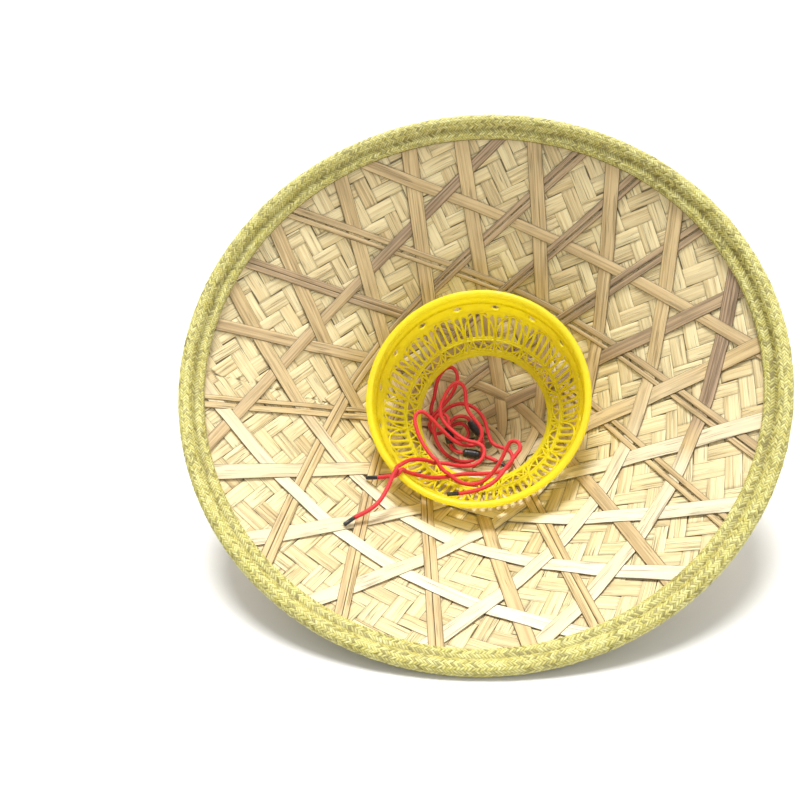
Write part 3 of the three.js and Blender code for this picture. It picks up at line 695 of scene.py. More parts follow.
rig.cord(cord_1, exit=list(line_1[0]), length=0.651, diameter=0.003, far_end="fitting", stiffness="limp", lay="loose",
        path=[list(map(float, p)) for p in line_1[::4]] + [list(map(float, line_1[-1]))], with_pieces=tips["1"] + stops)
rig.cord(cord_2, exit=list(line_2[0]), length=0.598, diameter=0.003, far_end="fitting", stiffness="limp", lay="loose",
        path=[list(map(float, p)) for p in line_2[::4]] + [list(map(float, line_2[-1]))], with_pieces=tips["2"])
print("cord lines", round(length_of(line_1), 4), round(length_of(line_2), 4))

# ------------------------------------------------------------------ woven wall: 2/2 twill, unrolled onto three quarters of a plane
PITCH = 11.6
SHELL_RUN = 274.0
SHELL_MID, SHELL_WAVE, SHELL_THICK = 2.62, 0.27, 0.36


def unrolled(x, y, off):
    run = np.hypot(x, y)
    azimuth = np.arctan2(y, x) / 0.75
    return wall(np.maximum(run, 0.4), azimuth, off)


def twill(i, j):
    return ((i + j) % 4) < 2


def weave_strips():
    count = int(SHELL_RUN / PITCH) + 1
    both = {"x": Soup(), "y": Soup()}
    # where neighbouring strips meet: boundary k lies between strips k-1 and k, and the two ways mirror each other at the seam
    half = rng.uniform(-1.35, 1.35, count + 2)
    half[0] = 0.0
    edges = np.array([math.copysign(1, k) * (abs(k) * PITCH + half[abs(k)]) if k else 0.0 for k in range(-count - 1, count + 2)])
    for axis in ("x", "y"):
        # gaps between neighbours, cell by cell: mostly closed, open here and there
        shape = (2 * count + 3, 2 * count + 3)
        gaps = np.where(rng.random(shape) < 0.34, rng.uniform(0.5, 1.3, shape), rng.uniform(0.0, 0.06, shape))
        middles = (np.arange(shape[1]) - count - 1 + 0.5) * PITCH
        for i in range(-count, count):
            e0, e1 = edges[i + count + 1], edges[i + count + 2]
            c = (e0 + e1) / 2
            if max(abs(e0), abs(e1)) > SHELL_RUN - 3:
                continue
            reach = math.sqrt(SHELL_RUN**2 - c**2)
            if axis == "x":
                spans = [(-abs(c) if abs(c) < SHELL_RUN / math.sqrt(2) else -reach, reach)]
            elif c >= 0:
                spans = [(-reach, reach)]
            elif abs(c) < SHELL_RUN / math.sqrt(2):
                spans = [(abs(c), reach), (-reach, -abs(c))]
            else:
                spans = []
            tone = float(np.clip(rng.normal(0.08, 0.13), 0, 0.5))
            before, after = gaps[i + count], gaps[i + count + 1]
            for lo, hi in spans:
                if hi - lo < 8:
                    continue
                first, last = math.floor(lo / PITCH * 4), math.ceil(hi / PITCH * 4)
                s = np.arange(first, last + 1) * PITCH / 4 + PITCH / 8
                s = s[(s > lo - PITCH) & (s < hi)]
                s = np.append(s, hi)
                k = np.clip(np.searchsorted(edges, s), 1, len(edges) - 1)
                k = np.where(s - edges[k - 1] < edges[k] - s, k - 1, k)        # nearest boundary
                d = s - edges[k]
                j = k - count - 1                                              # strips j-1 and j meet there

                def level(j):
                    up = twill(i, j) if axis == "x" else ~twill(j, i)
                    return np.where(up, -1.0, 1.0)

                a, b = level(j - 1), level(j)
                h = a + (b - a) * smoothstep(d / (0.44 * PITCH) + 0.5)
                g0, g1 = np.interp(s, middles, before), np.interp(s, middles, after)
                wide = (e1 - e0) - (g0 + g1) / 2
                shift = (g0 - g1) / 4
                tones = np.clip(tone + np.interp(s, np.linspace(lo, hi, 14), rng.normal(0, 0.07, 14)), 0, 0.6)
                seam = np.full(len(s), 1e9)
                if (axis == "x" and abs(c) < SHELL_RUN / math.sqrt(2)) or (axis == "y" and lo > 0):
                    seam = s - lo
                elif axis == "y" and hi < 0:
                    seam = hi - s
                # painted shade where a strip passes under a crossing strip, faded out near the seam
                painted_under_shade = smoothstep((h - 0.12) / 0.6) * smoothstep((seam - PITCH * 0.9) / 4)

                def place(s_, t_, off, axis=axis, lo=lo, hi=hi):
                    s_ = np.array(s_)
                    over = 0.9                       # past the seam, so that no light comes through it
                    if axis == "x":
                        s_ = np.maximum(s_, np.where(np.abs(t_) < SHELL_RUN / math.sqrt(2), -np.abs(t_) - over, -1e9))
                        return unrolled(s_, t_, off)
                    if lo > 0:
                        s_ = np.maximum(s_, np.abs(np.minimum(t_, 0)) - over)
                    elif hi < 0:
                        s_ = np.minimum(s_, -np.abs(np.minimum(t_, 0)) + over)
                    return unrolled(t_, s_, off)

                ribbon(both[axis], place, s, c + shift, wide, SHELL_MID + SHELL_WAVE * h,
                       SHELL_THICK, float(rng.uniform(0, 400)), tones, dome=0.05, edge=0.22, painted_under_shade=painted_under_shade)
    # dark patches in the small holes where four strips meet: painted shade, a dark sheet where there is only shade
    k = edges[1:-1]
    X, Y = np.meshgrid(k, k, indexing="ij")
    keep = (np.hypot(X, Y) < SHELL_RUN - 1) & (np.hypot(X, Y) > 1) & ~((X < 0) & (np.abs(Y) <= -X))
    X, Y = X[keep], Y[keep]
    corner = np.array([[-1, -1], [1, -1], [1, 1], [-1, 1]]) * 1.2
    v = unrolled(X[:, None] + corner[None, :, 0], Y[:, None] + corner[None, :, 1], np.full((len(X), 4), SHELL_MID))
    both["x"].add(v.reshape(-1, 3), np.arange(len(X) * 4).reshape(-1, 4), None, fibre=np.zeros((len(X) * 4, 3)), side=1.0, hidden=1.0, tone=0.0)
    # a narrow sheet along the seam, within the weave, lightly darkened: painted shade
    run = np.linspace(8, SHELL_RUN - 1, 60)
    edge = np.stack([wall(run, np.pi - 1.6 / (run * SA), SHELL_MID + 0.1), wall(run, np.pi + 1.6 / (run * SA), SHELL_MID + 0.1)], 1)
    both["x"].add(edge.reshape(-1, 3), loop_quads(60, 2, closed_cols=False), None, fibre=np.zeros((120, 3)), side=0.0, hidden=0.2, tone=0.3)
    both["x"].piece("weave_strips_one_way", material=weave_inner, slot="bamboo", replaces=("woven_shell",))
    both["y"].piece("weave_strips_other_way", material=weave_inner, slot="bamboo")


weave_strips()

# ------------------------------------------------------------------ open lattice of twenty splints
SPLINTS = [
    ("A1", 302.3, 192.5, 1.323, 9.6), ("A2", 302.4, 137.7, 1.338, 10.6), ("A3", 302.0, 88.0, 1.335, 9.8),
    ("A4", 301.5, 49.9, 1.392, 9.6), ("A5", 300.1, 14.6, 1.463, 9.8),
    ("B1", 219.7, 183.7, 1.244, 9.4), ("B2", 215.1, 131.2, 1.339, 9.8), ("B3", 212.7, 86.9, 1.370, 9.4),
    ("B4", 212.5, 48.4, 1.456, 9.6), ("B5", 212.4, 18.3, 1.540, 9.2),
    ("C1", 123.2, 196.5, 1.279, 11.4), ("C2", 124.9, 142.0, 1.326, 11.8), ("C3", 125.2, 98.0, 1.367, 11.4),
    ("C4", 126.0, 57.6, 1.449, 11.6), ("C5", 126.7, 26.7, 1.531, 11.0),
    ("D1", 30.2, 209.9, 1.306, 11.6), ("D2", 29.9, 157.1, 1.294, 12.0), ("D3", 32.9, 102.1, 1.327, 11.6),
    ("D4", 32.5, 59.5, 1.398, 11.4), ("D5", 32.1, 21.9, 1.458, 11.0),
]
LATTICE_RUN = 271.0
OVER, UNDER = 0.42, 1.14


def splint_plane(azimuth, reach, spread, s, t):
    """along and across a splint to run and azimuth"""
    return np.hypot(s, reach + t), azimuth * DEG + spread * np.arctan2(s, reach + t)


def lattice():
    lines = []
    for name, azimuth, reach, spread, width in SPLINTS:
        half = math.sqrt(LATTICE_RUN**2 - reach**2)
        s = np.linspace(-half, half, 241)
        run, az = splint_plane(azimuth, reach, spread, s, 0.0)
        lines.append((s, run * np.cos(az), run * np.sin(az), run, az))
    crossings = {k: [] for k in range(len(SPLINTS))}
    for p in range(len(SPLINTS)):
        for q in range(p + 1, len(SPLINTS)):
            if SPLINTS[p][0][0] == SPLINTS[q][0][0]:
                continue
            sp, xp, yp, rp, ap = lines[p]
            sq, xq, yq, rq, aq = lines[q]
            ax, ay, bx, by = xp[:-1, None], yp[:-1, None], xp[1:, None], yp[1:, None]
            cx, cy, dx, dy = xq[None, :-1], yq[None, :-1], xq[None, 1:], yq[None, 1:]
            den = (bx - ax) * (dy - cy) - (by - ay) * (dx - cx)
            den = np.where(np.abs(den) < 1e-12, 1e-12, den)
            u = ((cx - ax) * (dy - cy) - (cy - ay) * (dx - cx)) / den
            v = ((cx - ax) * (by - ay) - (cy - ay) * (bx - ax)) / den
            for i, j in zip(*np.nonzero((u >= 0) & (u < 1) & (v >= 0) & (v < 1))):
                ends = []
                for (_, _, _, run, az), m in ((lines[p], i), (lines[q], j)):
                    dr, da = run[m + 1] - run[m], (az[m + 1] - az[m]) * SA * run[m]
                    ends.append(math.degrees(math.atan2(da, dr)))
                p_over = ((ends[0] - ends[1]) % 180) > 90
                crossings[p].append((sp[i] + u[i, j] * (sp[i + 1] - sp[i]), p_over))
                crossings[q].append((sq[j] + v[i, j] * (sq[j + 1] - sq[j]), not p_over))
    soup = Soup()
    for k, (name, azimuth, reach, spread, width) in enumerate(SPLINTS):
        half = math.sqrt(LATTICE_RUN**2 - reach**2)
        n = int(2 * half / 2.6)
        s = np.linspace(-half, half, n)
        marks = sorted(crossings[k])
        knots, levels = [-half], [0.85]
        for m, (at, over) in enumerate(marks):
            before = at - (marks[m - 1][0] if m else -half)
            after = (marks[m + 1][0] if m + 1 < len(marks) else half) - at
            lev = OVER if over else UNDER
            knots += [at - min(6.5, 0.36 * before), at + min(6.5, 0.36 * after)]
            levels += [lev, lev]
        knots.append(half); levels.append(0.85)
        knots, levels = np.array(knots), np.array(levels)
        where = np.clip(np.searchsorted(knots, s) - 1, 0, len(knots) - 2)
        f = (s - knots[where]) / np.maximum(knots[where + 1] - knots[where], 1e-6)
        height = levels[where] + (levels[where + 1] - levels[where]) * smoothstep(f)
        sway = np.interp(s, np.linspace(-half, half, 8), rng.uniform(-0.5, 0.5, 8))
        wide = width + np.interp(s, np.linspace(-half, half, 9), rng.uniform(-0.5, 0.5, 9))
        u = s / half
        strip_tone = np.full(n, float(np.clip(rng.normal(0.10, 0.08), 0, 0.3)))
        # the C and D splints turn pale towards the bottom of the lying hat (negative tone): a painted highlight where
        # the top light falls on the lower wall
        if name[0] in "CD":
            run, az = splint_plane(azimuth, reach, spread, s, 0.0)
            strip_tone = strip_tone - (0.70 if name[0] == "C" else 0.55) * smoothstep((run * SA * np.sin(az) + 35) / 130)
        if name[0] == "B":
            strip_tone = strip_tone + 0.62 * smoothstep((u + 0.05) / 0.3)
        if name == "D1":
            strip_tone = strip_tone + 1.0 * smoothstep((-u - 0.05) / 0.3)
        if name == "A3":
            strip_tone = strip_tone + 0.45 * smoothstep((-u - 0.05) / 0.3)
        if name in ("A2", "A4"):
            strip_tone = strip_tone + 0.12
        strip_tone = np.clip(strip_tone + np.interp(s, np.linspace(-half, half, 14), rng.normal(0, 0.05, 14)), -1, 1)
        gap = np.zeros(n)
        if name == "A2":
            gap = np.interp(s, np.linspace(-half, half, 9), [0.5, 1.3, 1.7, 1.2, 1.5, 1.8, 1.4, 1.0, 0.4])
        elif name == "A5":
            gap = 1.5 * smoothstep((-u + 0.05) / 0.2)
        elif name == "A3":
            gap = 1.4 * smoothstep((u - 0.1) / 0.2)
        elif name in ("B3", "B4", "B2"):
            gap = 0.8 * smoothstep((u - 0.15) / 0.25)

        def place(s_, t_, off):
            run, az = splint_plane(azimuth, reach, spread, s_, t_)
            return wall(np.minimum(run, LATTICE_RUN), az, off)

        seed = float(rng.uniform(0, 400))
        if gap.max() > 0:
            share = rng.uniform(0.42, 0.58)
            w1, w2 = wide * share - gap / 2, wide * (1 - share) - gap / 2
            c1, c2 = sway - wide / 2 + w1 / 2, sway + wide / 2 - w2 / 2
            ribbon(soup, place, s, c1, w1, height, 0.52, seed, strip_tone, dome=0.10, edge=0.45)
            ribbon(soup, place, s, c2, w2, height + 0.03, 0.52, seed + 31.7, np.clip(strip_tone + 0.05, -1, 1), dome=0.10, edge=0.45)
        else:
            ribbon(soup, place, s, sway, wide, height, 0.54, seed, strip_tone, dome=0.14, edge=0.5)
    soup.piece("lattice_splints", material=splint_mat, slot="splint", replaces=("inner_lattice",))


lattice()

# ------------------------------------------------------------------ braided straw rim
def rim_profile():
    """the band's outer face from its outer flap's end, over the fold, to its inner flap's end: (run, offset)"""
    p = [(261.5, 4.4), (261.6, 5.6), (262.2, 6.3), (263.0, 6.6)]
    p += [(r, 6.6) for r in np.linspace(264.5, 276.6, 8)]
    for a in np.linspace(84, -142, 17):
        p.append((277.3 + 5.9 * math.cos(a * DEG), 1.2 + 5.4 * math.sin(a * DEG)))
    p += [(271.6, -1.75), (270.4, -2.3), (269.0, -3.0), (267.4, -3.3), (265.8, -3.2), (264.5, -2.8), (263.7, -1.9), (263.5, -0.3)]
    return np.array(p)


def rim():
    prof = rim_profile()
    d = np.gradient(prof, axis=0)
    d /= np.linalg.norm(d, axis=1)[:, None]
    normal = np.stack([-d[:, 1], d[:, 0]], 1)        # outwards from the band's body
    arc = np.concatenate([[0], np.cumsum(np.linalg.norm(np.diff(prof, axis=0), axis=1))])
    total = arc[-1]
    groove = float(arc[29])                    # the crease between the inner flap and the roll

    def surface(q, azimuth, lift):
        """arc length over the band, azimuth, height over the sunk base"""
        run = np.interp(q, arc, prof[:, 0]) + np.interp(q, arc, normal[:, 0]) * (lift - 0.97)
        off = np.interp(q, arc, prof[:, 1]) + np.interp(q, arc, normal[:, 1]) * (lift - 0.97)
        return wall(run, azimuth, off)

    soup = Soup()
    # core under the strands, closed along its inside; darkened all over (side 0.9): painted shade in the gaps between
    # strands
    q = np.linspace(0, total, 34)
    az = np.arange(256) * 2 * math.pi / 256
    grid = surface(q[:, None], az[None, :], np.zeros((len(q), 256)))
    inner = wall(np.array([263.5, 274.9, 274.9, 261.5])[:, None], az[None, :], np.array([-0.3, -0.3, 4.0, 4.0])[:, None])
    allv = np.concatenate([grid, inner])
    n = len(allv) * 256
    soup.add(allv.reshape(-1, 3), loop_quads(len(allv), 256, closed_rows=True), None,
             fibre=np.zeros((n, 3)), side=0.9, tone=0.0)
    # strands: leaf-shaped crossings in rows that lean one way and the other
    rows = 20
    high = total / rows
    count = 590
    la = np.array([-1.0, -0.35, 0.35, 1.0])
    lb = np.array([-1.0, 0.0, 1.0])
    A, B = np.meshgrid(la, lb, indexing="ij")
    local_quads = loop_quads(len(la), len(lb), closed_cols=False)
    lift = (1 - A**4) * (1 - B**2)
    for row in range(rows):
        lean = 1 if row % 2 == 0 else -1
        m = np.arange(count)
        mid = (m + (0.5 if row % 2 else 0.0)) * 2 * math.pi / count
        size_c = 2 * math.pi * 206 / count
        u = A * high * 0.78                              # across the band
        slant = lean * (0.66 + rng.normal(0, 0.16, (count, 1, 1)))
        c = A[None] * slant * high + B[None] * size_c * 0.60 * (1 - 0.28 * np.abs(A[None]) ** 2)
        jit = rng.normal(0, 0.22, (count, 1, 1))
        qq = (row + 0.5) * high + u[None] + jit * 0.6
        cc = mid[:, None, None] + (c + jit) / 206
        top = 0.95 * rng.uniform(0.62, 1.0, (count, 1, 1))
        pts = surface(np.clip(qq, 0.05, total - 0.05), cc, lift[None] * top - 0.02)
        nv = A.size
        quads = (local_quads[None] + (np.arange(count) * nv)[:, None, None]).reshape(-1, 4)
        if lean < 0:
            quads = quads[:, ::-1]
        edge_row = row in (0, rows - 1)
        # the two edge rows are lighter: a painted highlight for the glints along the band's edges
        tone = rng.uniform(0, 0.68, (count, 1, 1)) + (0.35 if edge_row else 0.0)
        tone = np.where(rng.random((count, 1, 1)) < 0.07, tone + 0.35, tone)
        dull = np.where(rng.random((count, 1, 1)) < 0.22, rng.uniform(0.5, 1.4, (count, 1, 1)), 0.0)
        # side: painted shade where each strand dips under its neighbours and along the crease by the groove; the dull
        # strands are random darker strands
        soup.add(pts.reshape(-1, 3), quads, None,
                 fibre=np.stack([(mid[:, None, None] * 206 + A[None] * high).ravel(), np.broadcast_to(B[None] * 1.0, (count, *B.shape)).ravel(),
                                 np.repeat(rng.uniform(0, 300, count), nv)], 1),
                 side=np.clip((1 - lift[None]) ** 1.5 * 0.75 + dull * 0.5 + 0.42 * np.exp(-((qq - groove - 0.8 * np.sin(cc * 23)) / 1.6) ** 2), 0, 1).ravel(),
                 tone=np.broadcast_to(tone, (count, *A.shape)).ravel().clip(0, 0.9))
    # turned edges of the braid: a row of small loops along each flap
    for q0, count2 in ((0.9, 470), (total - 0.9, 470)):
        m = np.arange(count2)
        size = 2 * math.pi * 200 / count2
        lift2 = (1 - A**2 * 0.9) * (1 - B**4)
        qq = q0 + B[None] * 0.85 + rng.normal(0, 0.08, (count2, 1, 1))
        cc = (m * 2 * math.pi / count2)[:, None, None] + (A[None] * size * 0.62 + B[None] * 0.5) / 200
        pts = surface(np.clip(qq, 0.0, total), cc, lift2[None] * 0.95 * rng.uniform(0.8, 1, (count2, 1, 1)))
        nv = A.size
        quads = (local_quads[None] + (np.arange(count2) * nv)[:, None, None]).reshape(-1, 4)
        # the loops are lighter than the strands, a painted highlight for the glints along the flaps, and darker where
        # they dip, painted shade
        soup.add(pts.reshape(-1, 3), quads, None,
                 fibre=np.stack([(m[:, None, None] * size + A[None]).ravel(), np.broadcast_to(B[None], (count2, *B.shape)).ravel(),
                                 np.repeat(rng.uniform(0, 300, count2), nv)], 1),
                 side=np.broadcast_to((1 - lift2[None]), (count2, *A.shape)).ravel() * 0.7,
                 tone=np.broadcast_to(rng.uniform(0.3, 0.95, (count2, 1, 1)), (count2, *A.shape)).ravel())
    soup.piece("rim_braid", material=straw_mat, slot="braid", replaces=("rim_band",))


rim()

# ------------------------------------------------------------------ wound straw cap over the tip
def cap():
    soup = Soup()
    flat = math.cos(math.pi / 32)
    # wall of the cap, under the windings, darkened all over (side 0.9): painted shade in the gaps between the windings
    run = np.array([31.0, 26, 20, 14, 9, 5])
    az = np.arange(64) * 2 * math.pi / 64
    tip_out = HEIGHT + 6.6 / SA
    centre = tip_out - 12 / SA
    outer = [wall(r, az, 4.9, flat) for r in run]
    for a in (60, 75, 88):
        r, z = 10.3 * math.cos(a * DEG), centre + 10.3 * math.sin(a * DEG)
        outer.append(np.stack([r * np.cos(az), r * np.sin(az), np.full(64, z)], 1))
    inner = [wall(31.0, az, 4.05, flat)]
    allv = np.stack(inner + outer)
    soup.add(allv.reshape(-1, 3), loop_quads(len(allv), 64), None, fibre=np.zeros((allv.shape[0] * 64, 3)), side=0.9, tone=0.0)
    # the winding, one strand from the edge to the top
    step = 2.3
    turns = int(30 / step) + 4
    steps = turns * 56
    k = np.arange(steps)
    theta = k * 2 * math.pi / 56
    along = 29.7 - step * theta / (2 * math.pi)
    pts, nor = [], []
    for s_, t_ in zip(along, theta):
        if s_ > 6.5:
            p = wall(s_, t_, 5.4, flat)
            nrm = np.array([CA * math.cos(t_), CA * math.sin(t_), SA])
        else:
            ang = 40.6 + min(1.0, (6.5 - s_) / 9.0) * 46
            rr = 10.9
            p = np.array([rr * math.cos(ang * DEG) * math.cos(t_) * 0.96, rr * math.cos(ang * DEG) * math.sin(t_) * 0.96, centre + rr * math.sin(ang * DEG)])
            nrm = np.array([math.cos(ang * DEG) * math.cos(t_), math.cos(ang * DEG) * math.sin(t_), math.sin(ang * DEG)])
        pts.append(p); nor.append(nrm)
    pts, nor = np.array(pts), np.array(nor)
    t = np.gradient(pts, axis=0); t /= np.linalg.norm(t, axis=1)[:, None]
    side = np.cross(t, nor); side /= np.linalg.norm(side, axis=1)[:, None]
    nor = np.cross(side, t)
    th = np.arange(10) * 2 * math.pi / 10
    twist = 1 + 0.10 * np.cos(3 * (th[None, :] + theta[:, None] * 4.0))
    ring = (np.cos(th)[None, :, None] * side[:, None] * 1.25 + np.sin(th)[None, :, None] * nor[:, None] * 1.1) * twist[..., None]
    v = pts[:, None] + ring
    n = len(pts) * 10
    # side: darker on each strand's underside, against the cap's wall: painted shade
    soup.add(v.reshape(-1, 3), loop_quads(len(pts), 10), None,
             fibre=np.stack([np.repeat(theta * 18, 10), np.tile(th * 2, len(pts)), np.zeros(n)], 1),
             side=np.clip(0.5 - 0.6 * np.tile(np.sin(th), len(pts)), 0, 0.8), tone=np.repeat(0.35 + 0.25 * np.sin(theta * 1.7), 10))
    soup.piece("tip_winding", material=straw_mat, slot="braid", replaces=("tip_cap",))


cap()

# ------------------------------------------------------------------ yellow plastic head ring, openwork
tx, ty = (a * DEG for a in RING["lean"])
ring_axis = np.array([math.sin(ty), -math.sin(tx) * math.cos(ty), math.cos(tx) * math.cos(ty)])
ru = np.cross([0, 1, 0], ring_axis); ru /= np.linalg.norm(ru)
rv = np.cross(ring_axis, ru)
RR = np.stack([ru, rv, ring_axis])
UNITS = 16
FACE = np.array([(84.7, 1.0), (84.65, 2.8), (83.9, 12), (82.2, 21), (79.6, 30), (75.9, 38), (71.4, 45), (66.8, 50.6), (60.4, 56.0), (57.6, 58.2)])
FIT = np.polyfit(FACE[:, 1], FACE[:, 0], 5)         # wall's middle: a bowl, steep at the mouth, flat at the hole


def drawn_in(azimuth, h):
    return 3.4 * np.clip(h / 61.2, 0, 1) * (1 - np.sin(azimuth)) / 2


def ring_pt(azimuth, h, lift=0.0):
    """point near the ring wall: azimuth, depth from the mouth, distance outwards from the wall's middle"""
    azimuth, h, lift = np.broadcast_arrays(*(np.asarray(a, float) for a in (azimuth, h, lift)))
    slope = np.polyval(np.polyder(FIT), h)
    size = np.sqrt(1 + slope**2)
    r = np.polyval(FIT, h) + lift / size - drawn_in(azimuth, h)
    z = h - slope / size * lift
    return RING["centre"] + np.stack([r * np.cos(azimuth), r * np.sin(azimuth), z], -1) @ RR


def ring():
    soup = Soup()
    unit = 2 * math.pi / UNITS

    def lathe(profile, n=200):
        az = np.arange(n) * 2 * math.pi / n
        rows = [RING["centre"] + np.stack([(r - drawn_in(az, h)) * np.cos(az), (r - drawn_in(az, h)) * np.sin(az), np.full(n, h)], 1) @ RR for r, h in profile]
        soup.add(np.concatenate(rows), loop_quads(len(profile), n, closed_rows=True))

    # rolled rim
    lathe([(86.1 + 2.7 * math.cos(a * DEG), 0.1 + 2.7 * math.sin(a * DEG)) for a in np.arange(0, 360, 24)])
    # plain wall below it
    def wall_loop(h, thick):
        face = lambda h, lift: (float(np.polyval(FIT, h)) + lift, h)
        return [face(a, thick / 2) for a in h] + [face(a, -thick / 2) for a in h[::-1]]
    lathe(wall_loop([1.6, 5.0, 9.0, 13.6], 1.6))
    # corner and lip round the hole
    lathe([(60.6, 57.4), (60.3, 58.6), (59.2, 60.2), (57.6, 61.1), (56.1, 61.2), (55.5, 60.8), (55.5, 59.9),
           (56.3, 59.1), (57.6, 58.0), (58.8, 56.9)])

    def cells(count, lo, hi, hole, thick=1.7, phase=0.0, ring_n=24, layers=4):
        """a solid zone with one hole in each cell; hole(k) gives (half width in radians, half height, roundness power, centre h)"""
        width = 2 * math.pi / count
        k = np.arange(ring_n) * 2 * math.pi / ring_n + math.pi / 4
        c, s = np.cos(k), np.sin(k)
        m = np.maximum(np.abs(c), np.abs(s))
        box = np.stack([c / m, s / m], 1)
        f = np.linspace(0, 1, layers)[:, None, None]
        for i in range(count):
            hw, hh, power, centre, push = hole(i)
            e = 2.0 / power
            rnd = np.stack([np.sign(c) * np.abs(c) ** e, np.sign(s) * np.abs(s) ** e], 1)
            inner = np.stack([rnd[:, 0] * hw + push, centre + rnd[:, 1] * hh], 1)
            outer = np.stack([box[:, 0] * width / 2, (lo + hi) / 2 + box[:, 1] * (hi - lo) / 2], 1)
            grid = inner[None] * (1 - f) + outer[None] * f
            az = grid[..., 0] + (i + 0.5) * width + phase
            front = ring_pt(az, grid[..., 1], -thick / 2)
            back = ring_pt(az, grid[..., 1], thick / 2)
            lip = ring_pt(az[0], grid[0, :, 1], 0.0)
            fr = np.concatenate([lip[None], front])
            bk = np.concatenate([lip[None], back])
            soup.add(fr.reshape(-1, 3), loop_quads(len(fr), ring_n))
            soup.add(bk.reshape(-1, 3), loop_quads(len(bk), ring_n)[:, ::-1])

    def bar(az, h, wide, thick, lift=0.0):
        """a rounded bar laid along the wall"""
        az, h = np.asarray(az, float), np.asarray(h, float)
        p = ring_pt(az, h, lift)
        out = ring_pt(az, h, lift + 1.0) - p
        t = np.gradient(p, axis=0); t /= np.linalg.norm(t, axis=1)[:, None]
        side = np.cross(t, out); side /= np.linalg.norm(side, axis=1)[:, None]
        wide = np.broadcast_to(np.asarray(wide, float), (len(p),))
        a = np.arange(8) * math.pi / 4 + math.pi / 8
        cs = np.stack([np.sign(np.cos(a)) * np.abs(np.cos(a)) ** 0.7, np.sign(np.sin(a)) * np.abs(np.sin(a)) ** 0.7], 1)
        v = p[:, None] + cs[None, :, :1] * side[:, None] * (wide[:, None, None] / 2) + cs[None, :, 1:] * out[:, None] * thick / 2
        closed = np.linalg.norm(p[0] - p[-1]) < 1e-6
        if closed:
            v = v[:-1]
        soup.add(v.reshape(-1, 3), loop_quads(len(v), 8, closed_rows=closed))

    full = np.linspace(0, 2 * math.pi, 241)
    full[-1] = full[0]

    def hoop(h, wide, thick, lift=0.0):
        az = np.linspace(0, 2 * math.pi, 241)
        bar(np.append(az[:-1], 0.0), np.full(241, h), wide, thick, lift)

    # solid zone with round holes, one in each unit
    cells(UNITS, 13.4, 23.4, lambda i: (0.0420, 3.3, 2.0, 18.4, 0.0), ring_n=40, layers=6)
    hoop(23.3, 1.3, 1.8, -0.2)
    # slots: five in each unit
    def slot_hole(i):
        return (0.0262, (9.8, 11.4, 12.0, 11.4, 9.8)[i % 5], 3.6, (39.0, 37.6, 37.0, 37.6, 39.0)[i % 5], 0.0)
    cells(UNITS * 5, 23.4, 50.6, slot_hole, thick=1.3, phase=unit / 2, ring_n=24, layers=3)
    hoop(50.5, 1.8, 2.7, -0.5)
    # arches above the ridge, scallops and a zigzag between the ridge and the plain edge
    for k in range(UNITS):
        a0 = (k + 0.5) * unit
        u = np.linspace(0, 1, 17)
        swell = (1 - (2 * u - 1) ** 2) ** 0.72
        bar(a0 + u * unit, 50.2 - 24.5 * swell, 1.3, 1.4, -0.9)
        bar(a0 + u * unit, 50.6 + 5.6 * swell, 1.3, 1.5, -0.4)
        for f0, f1 in ((0.0, 0.2), (0.4, 0.2), (0.4, 0.6), (0.8, 0.6), (0.8, 1.0)):
            h0, h1 = (57.4, 50.6) if f1 in (0.2, 0.6, 1.0) else (50.6, 57.4)
            bar(a0 + np.array([f0, f1]) * unit, np.array([h0, h1]), 1.5, 1.6)
        bar(np.array([a0, a0]), np.array([50.5, 57.6]), 1.9, 1.9)
    hoop(57.4, 1.5, 1.8)
    soup.piece("openwork_ring", material=plastic_mat, slot="plastic", replaces=("head_ring",))


ring()

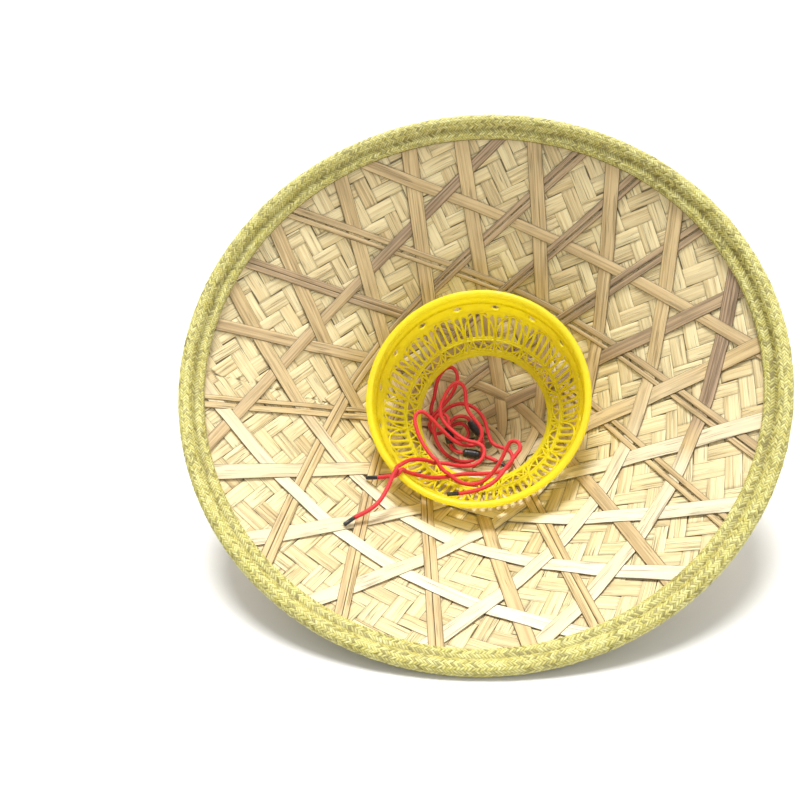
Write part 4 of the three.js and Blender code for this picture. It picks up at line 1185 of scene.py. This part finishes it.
# ------------------------------------------------------------------ floor, backdrop and light
def set_stage():
    def sheet_of(name, y, z, colour, glow):
        x = np.array([-9.0, 9.0])
        y, z = np.asarray(y, float), np.asarray(z, float)
        v = np.stack([np.broadcast_to(x[None, :], (len(y), 2)), np.broadcast_to(y[:, None], (len(y), 2)), np.broadcast_to(z[:, None], (len(y), 2))], -1)
        me = bpy.data.meshes.new(name)
        me.from_pydata([tuple(p) for p in v.reshape(-1, 3)], [], [tuple(q) for q in loop_quads(len(y), 2, closed_cols=False)])
        me.polygons.foreach_set("use_smooth", np.full(len(me.polygons), True))
        me.update()
        obj = bpy.data.objects.new(name, me)
        scene.collection.objects.link(obj)
        m = bpy.data.materials.new(name)
        m.use_nodes = True
        p = m.node_tree.nodes["Principled BSDF"]
        p.inputs["Base Color"].default_value = (*colour, 1)
        p.inputs["Roughness"].default_value = 0.85
        p.inputs["Specular IOR Level"].default_value = 0.1
        p.inputs["Emission Color"].default_value = (1, 1, 1, 1)
        p.inputs["Emission Strength"].default_value = glow
        me.materials.append(m)
        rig.stage(obj)

    sheet_of("floor_sheet", np.linspace(-3.5, 3.0, 14), np.zeros(14), (0.70, 0.70, 0.70), 0.0)
    a = np.linspace(0.0, math.pi / 2, 12)
    sheet_of("backdrop", np.append(2.4 + 1.2 * np.sin(a), 3.6), np.append(0.002 + 1.2 * (1 - np.cos(a)), 5.0), (0.7, 0.7, 0.7), 0.75)

    w = bpy.data.worlds.new("studio")
    w.use_nodes = True
    w.node_tree.nodes["Background"].inputs[0].default_value = (1.0, 0.975, 0.92, 1)
    w.node_tree.nodes["Background"].inputs[1].default_value = 0.68
    scene.world = w

    for name, energy, angle, way in (("top_light", 3.9, 20, (-0.03, 0.07, 0.99)), ("side_light", 0.7, 60, (0.80, -0.40, 0.45))):
        d = bpy.data.lights.new(name, "SUN")
        d.energy = energy
        d.angle = angle * DEG
        d.color = (0.99, 0.985, 0.97)
        o = bpy.data.objects.new(name, d)
        scene.collection.objects.link(o)
        o.rotation_euler = Vector(way).to_track_quat("Z", "Y").to_euler()


set_stage()
scene.view_settings.view_transform = "Standard"
scene.view_settings.look = "None"

bounds_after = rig.bounds()


def plain(x):
    if isinstance(x, dict):
        return {k: plain(v) for k, v in x.items()}
    if isinstance(x, (int, float, str)) or x is None:
        return x
    return [plain(v) for v in x]


with open("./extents.json", "w") as out:
    json.dump([plain(bounds_before), plain(bounds_after)], out)
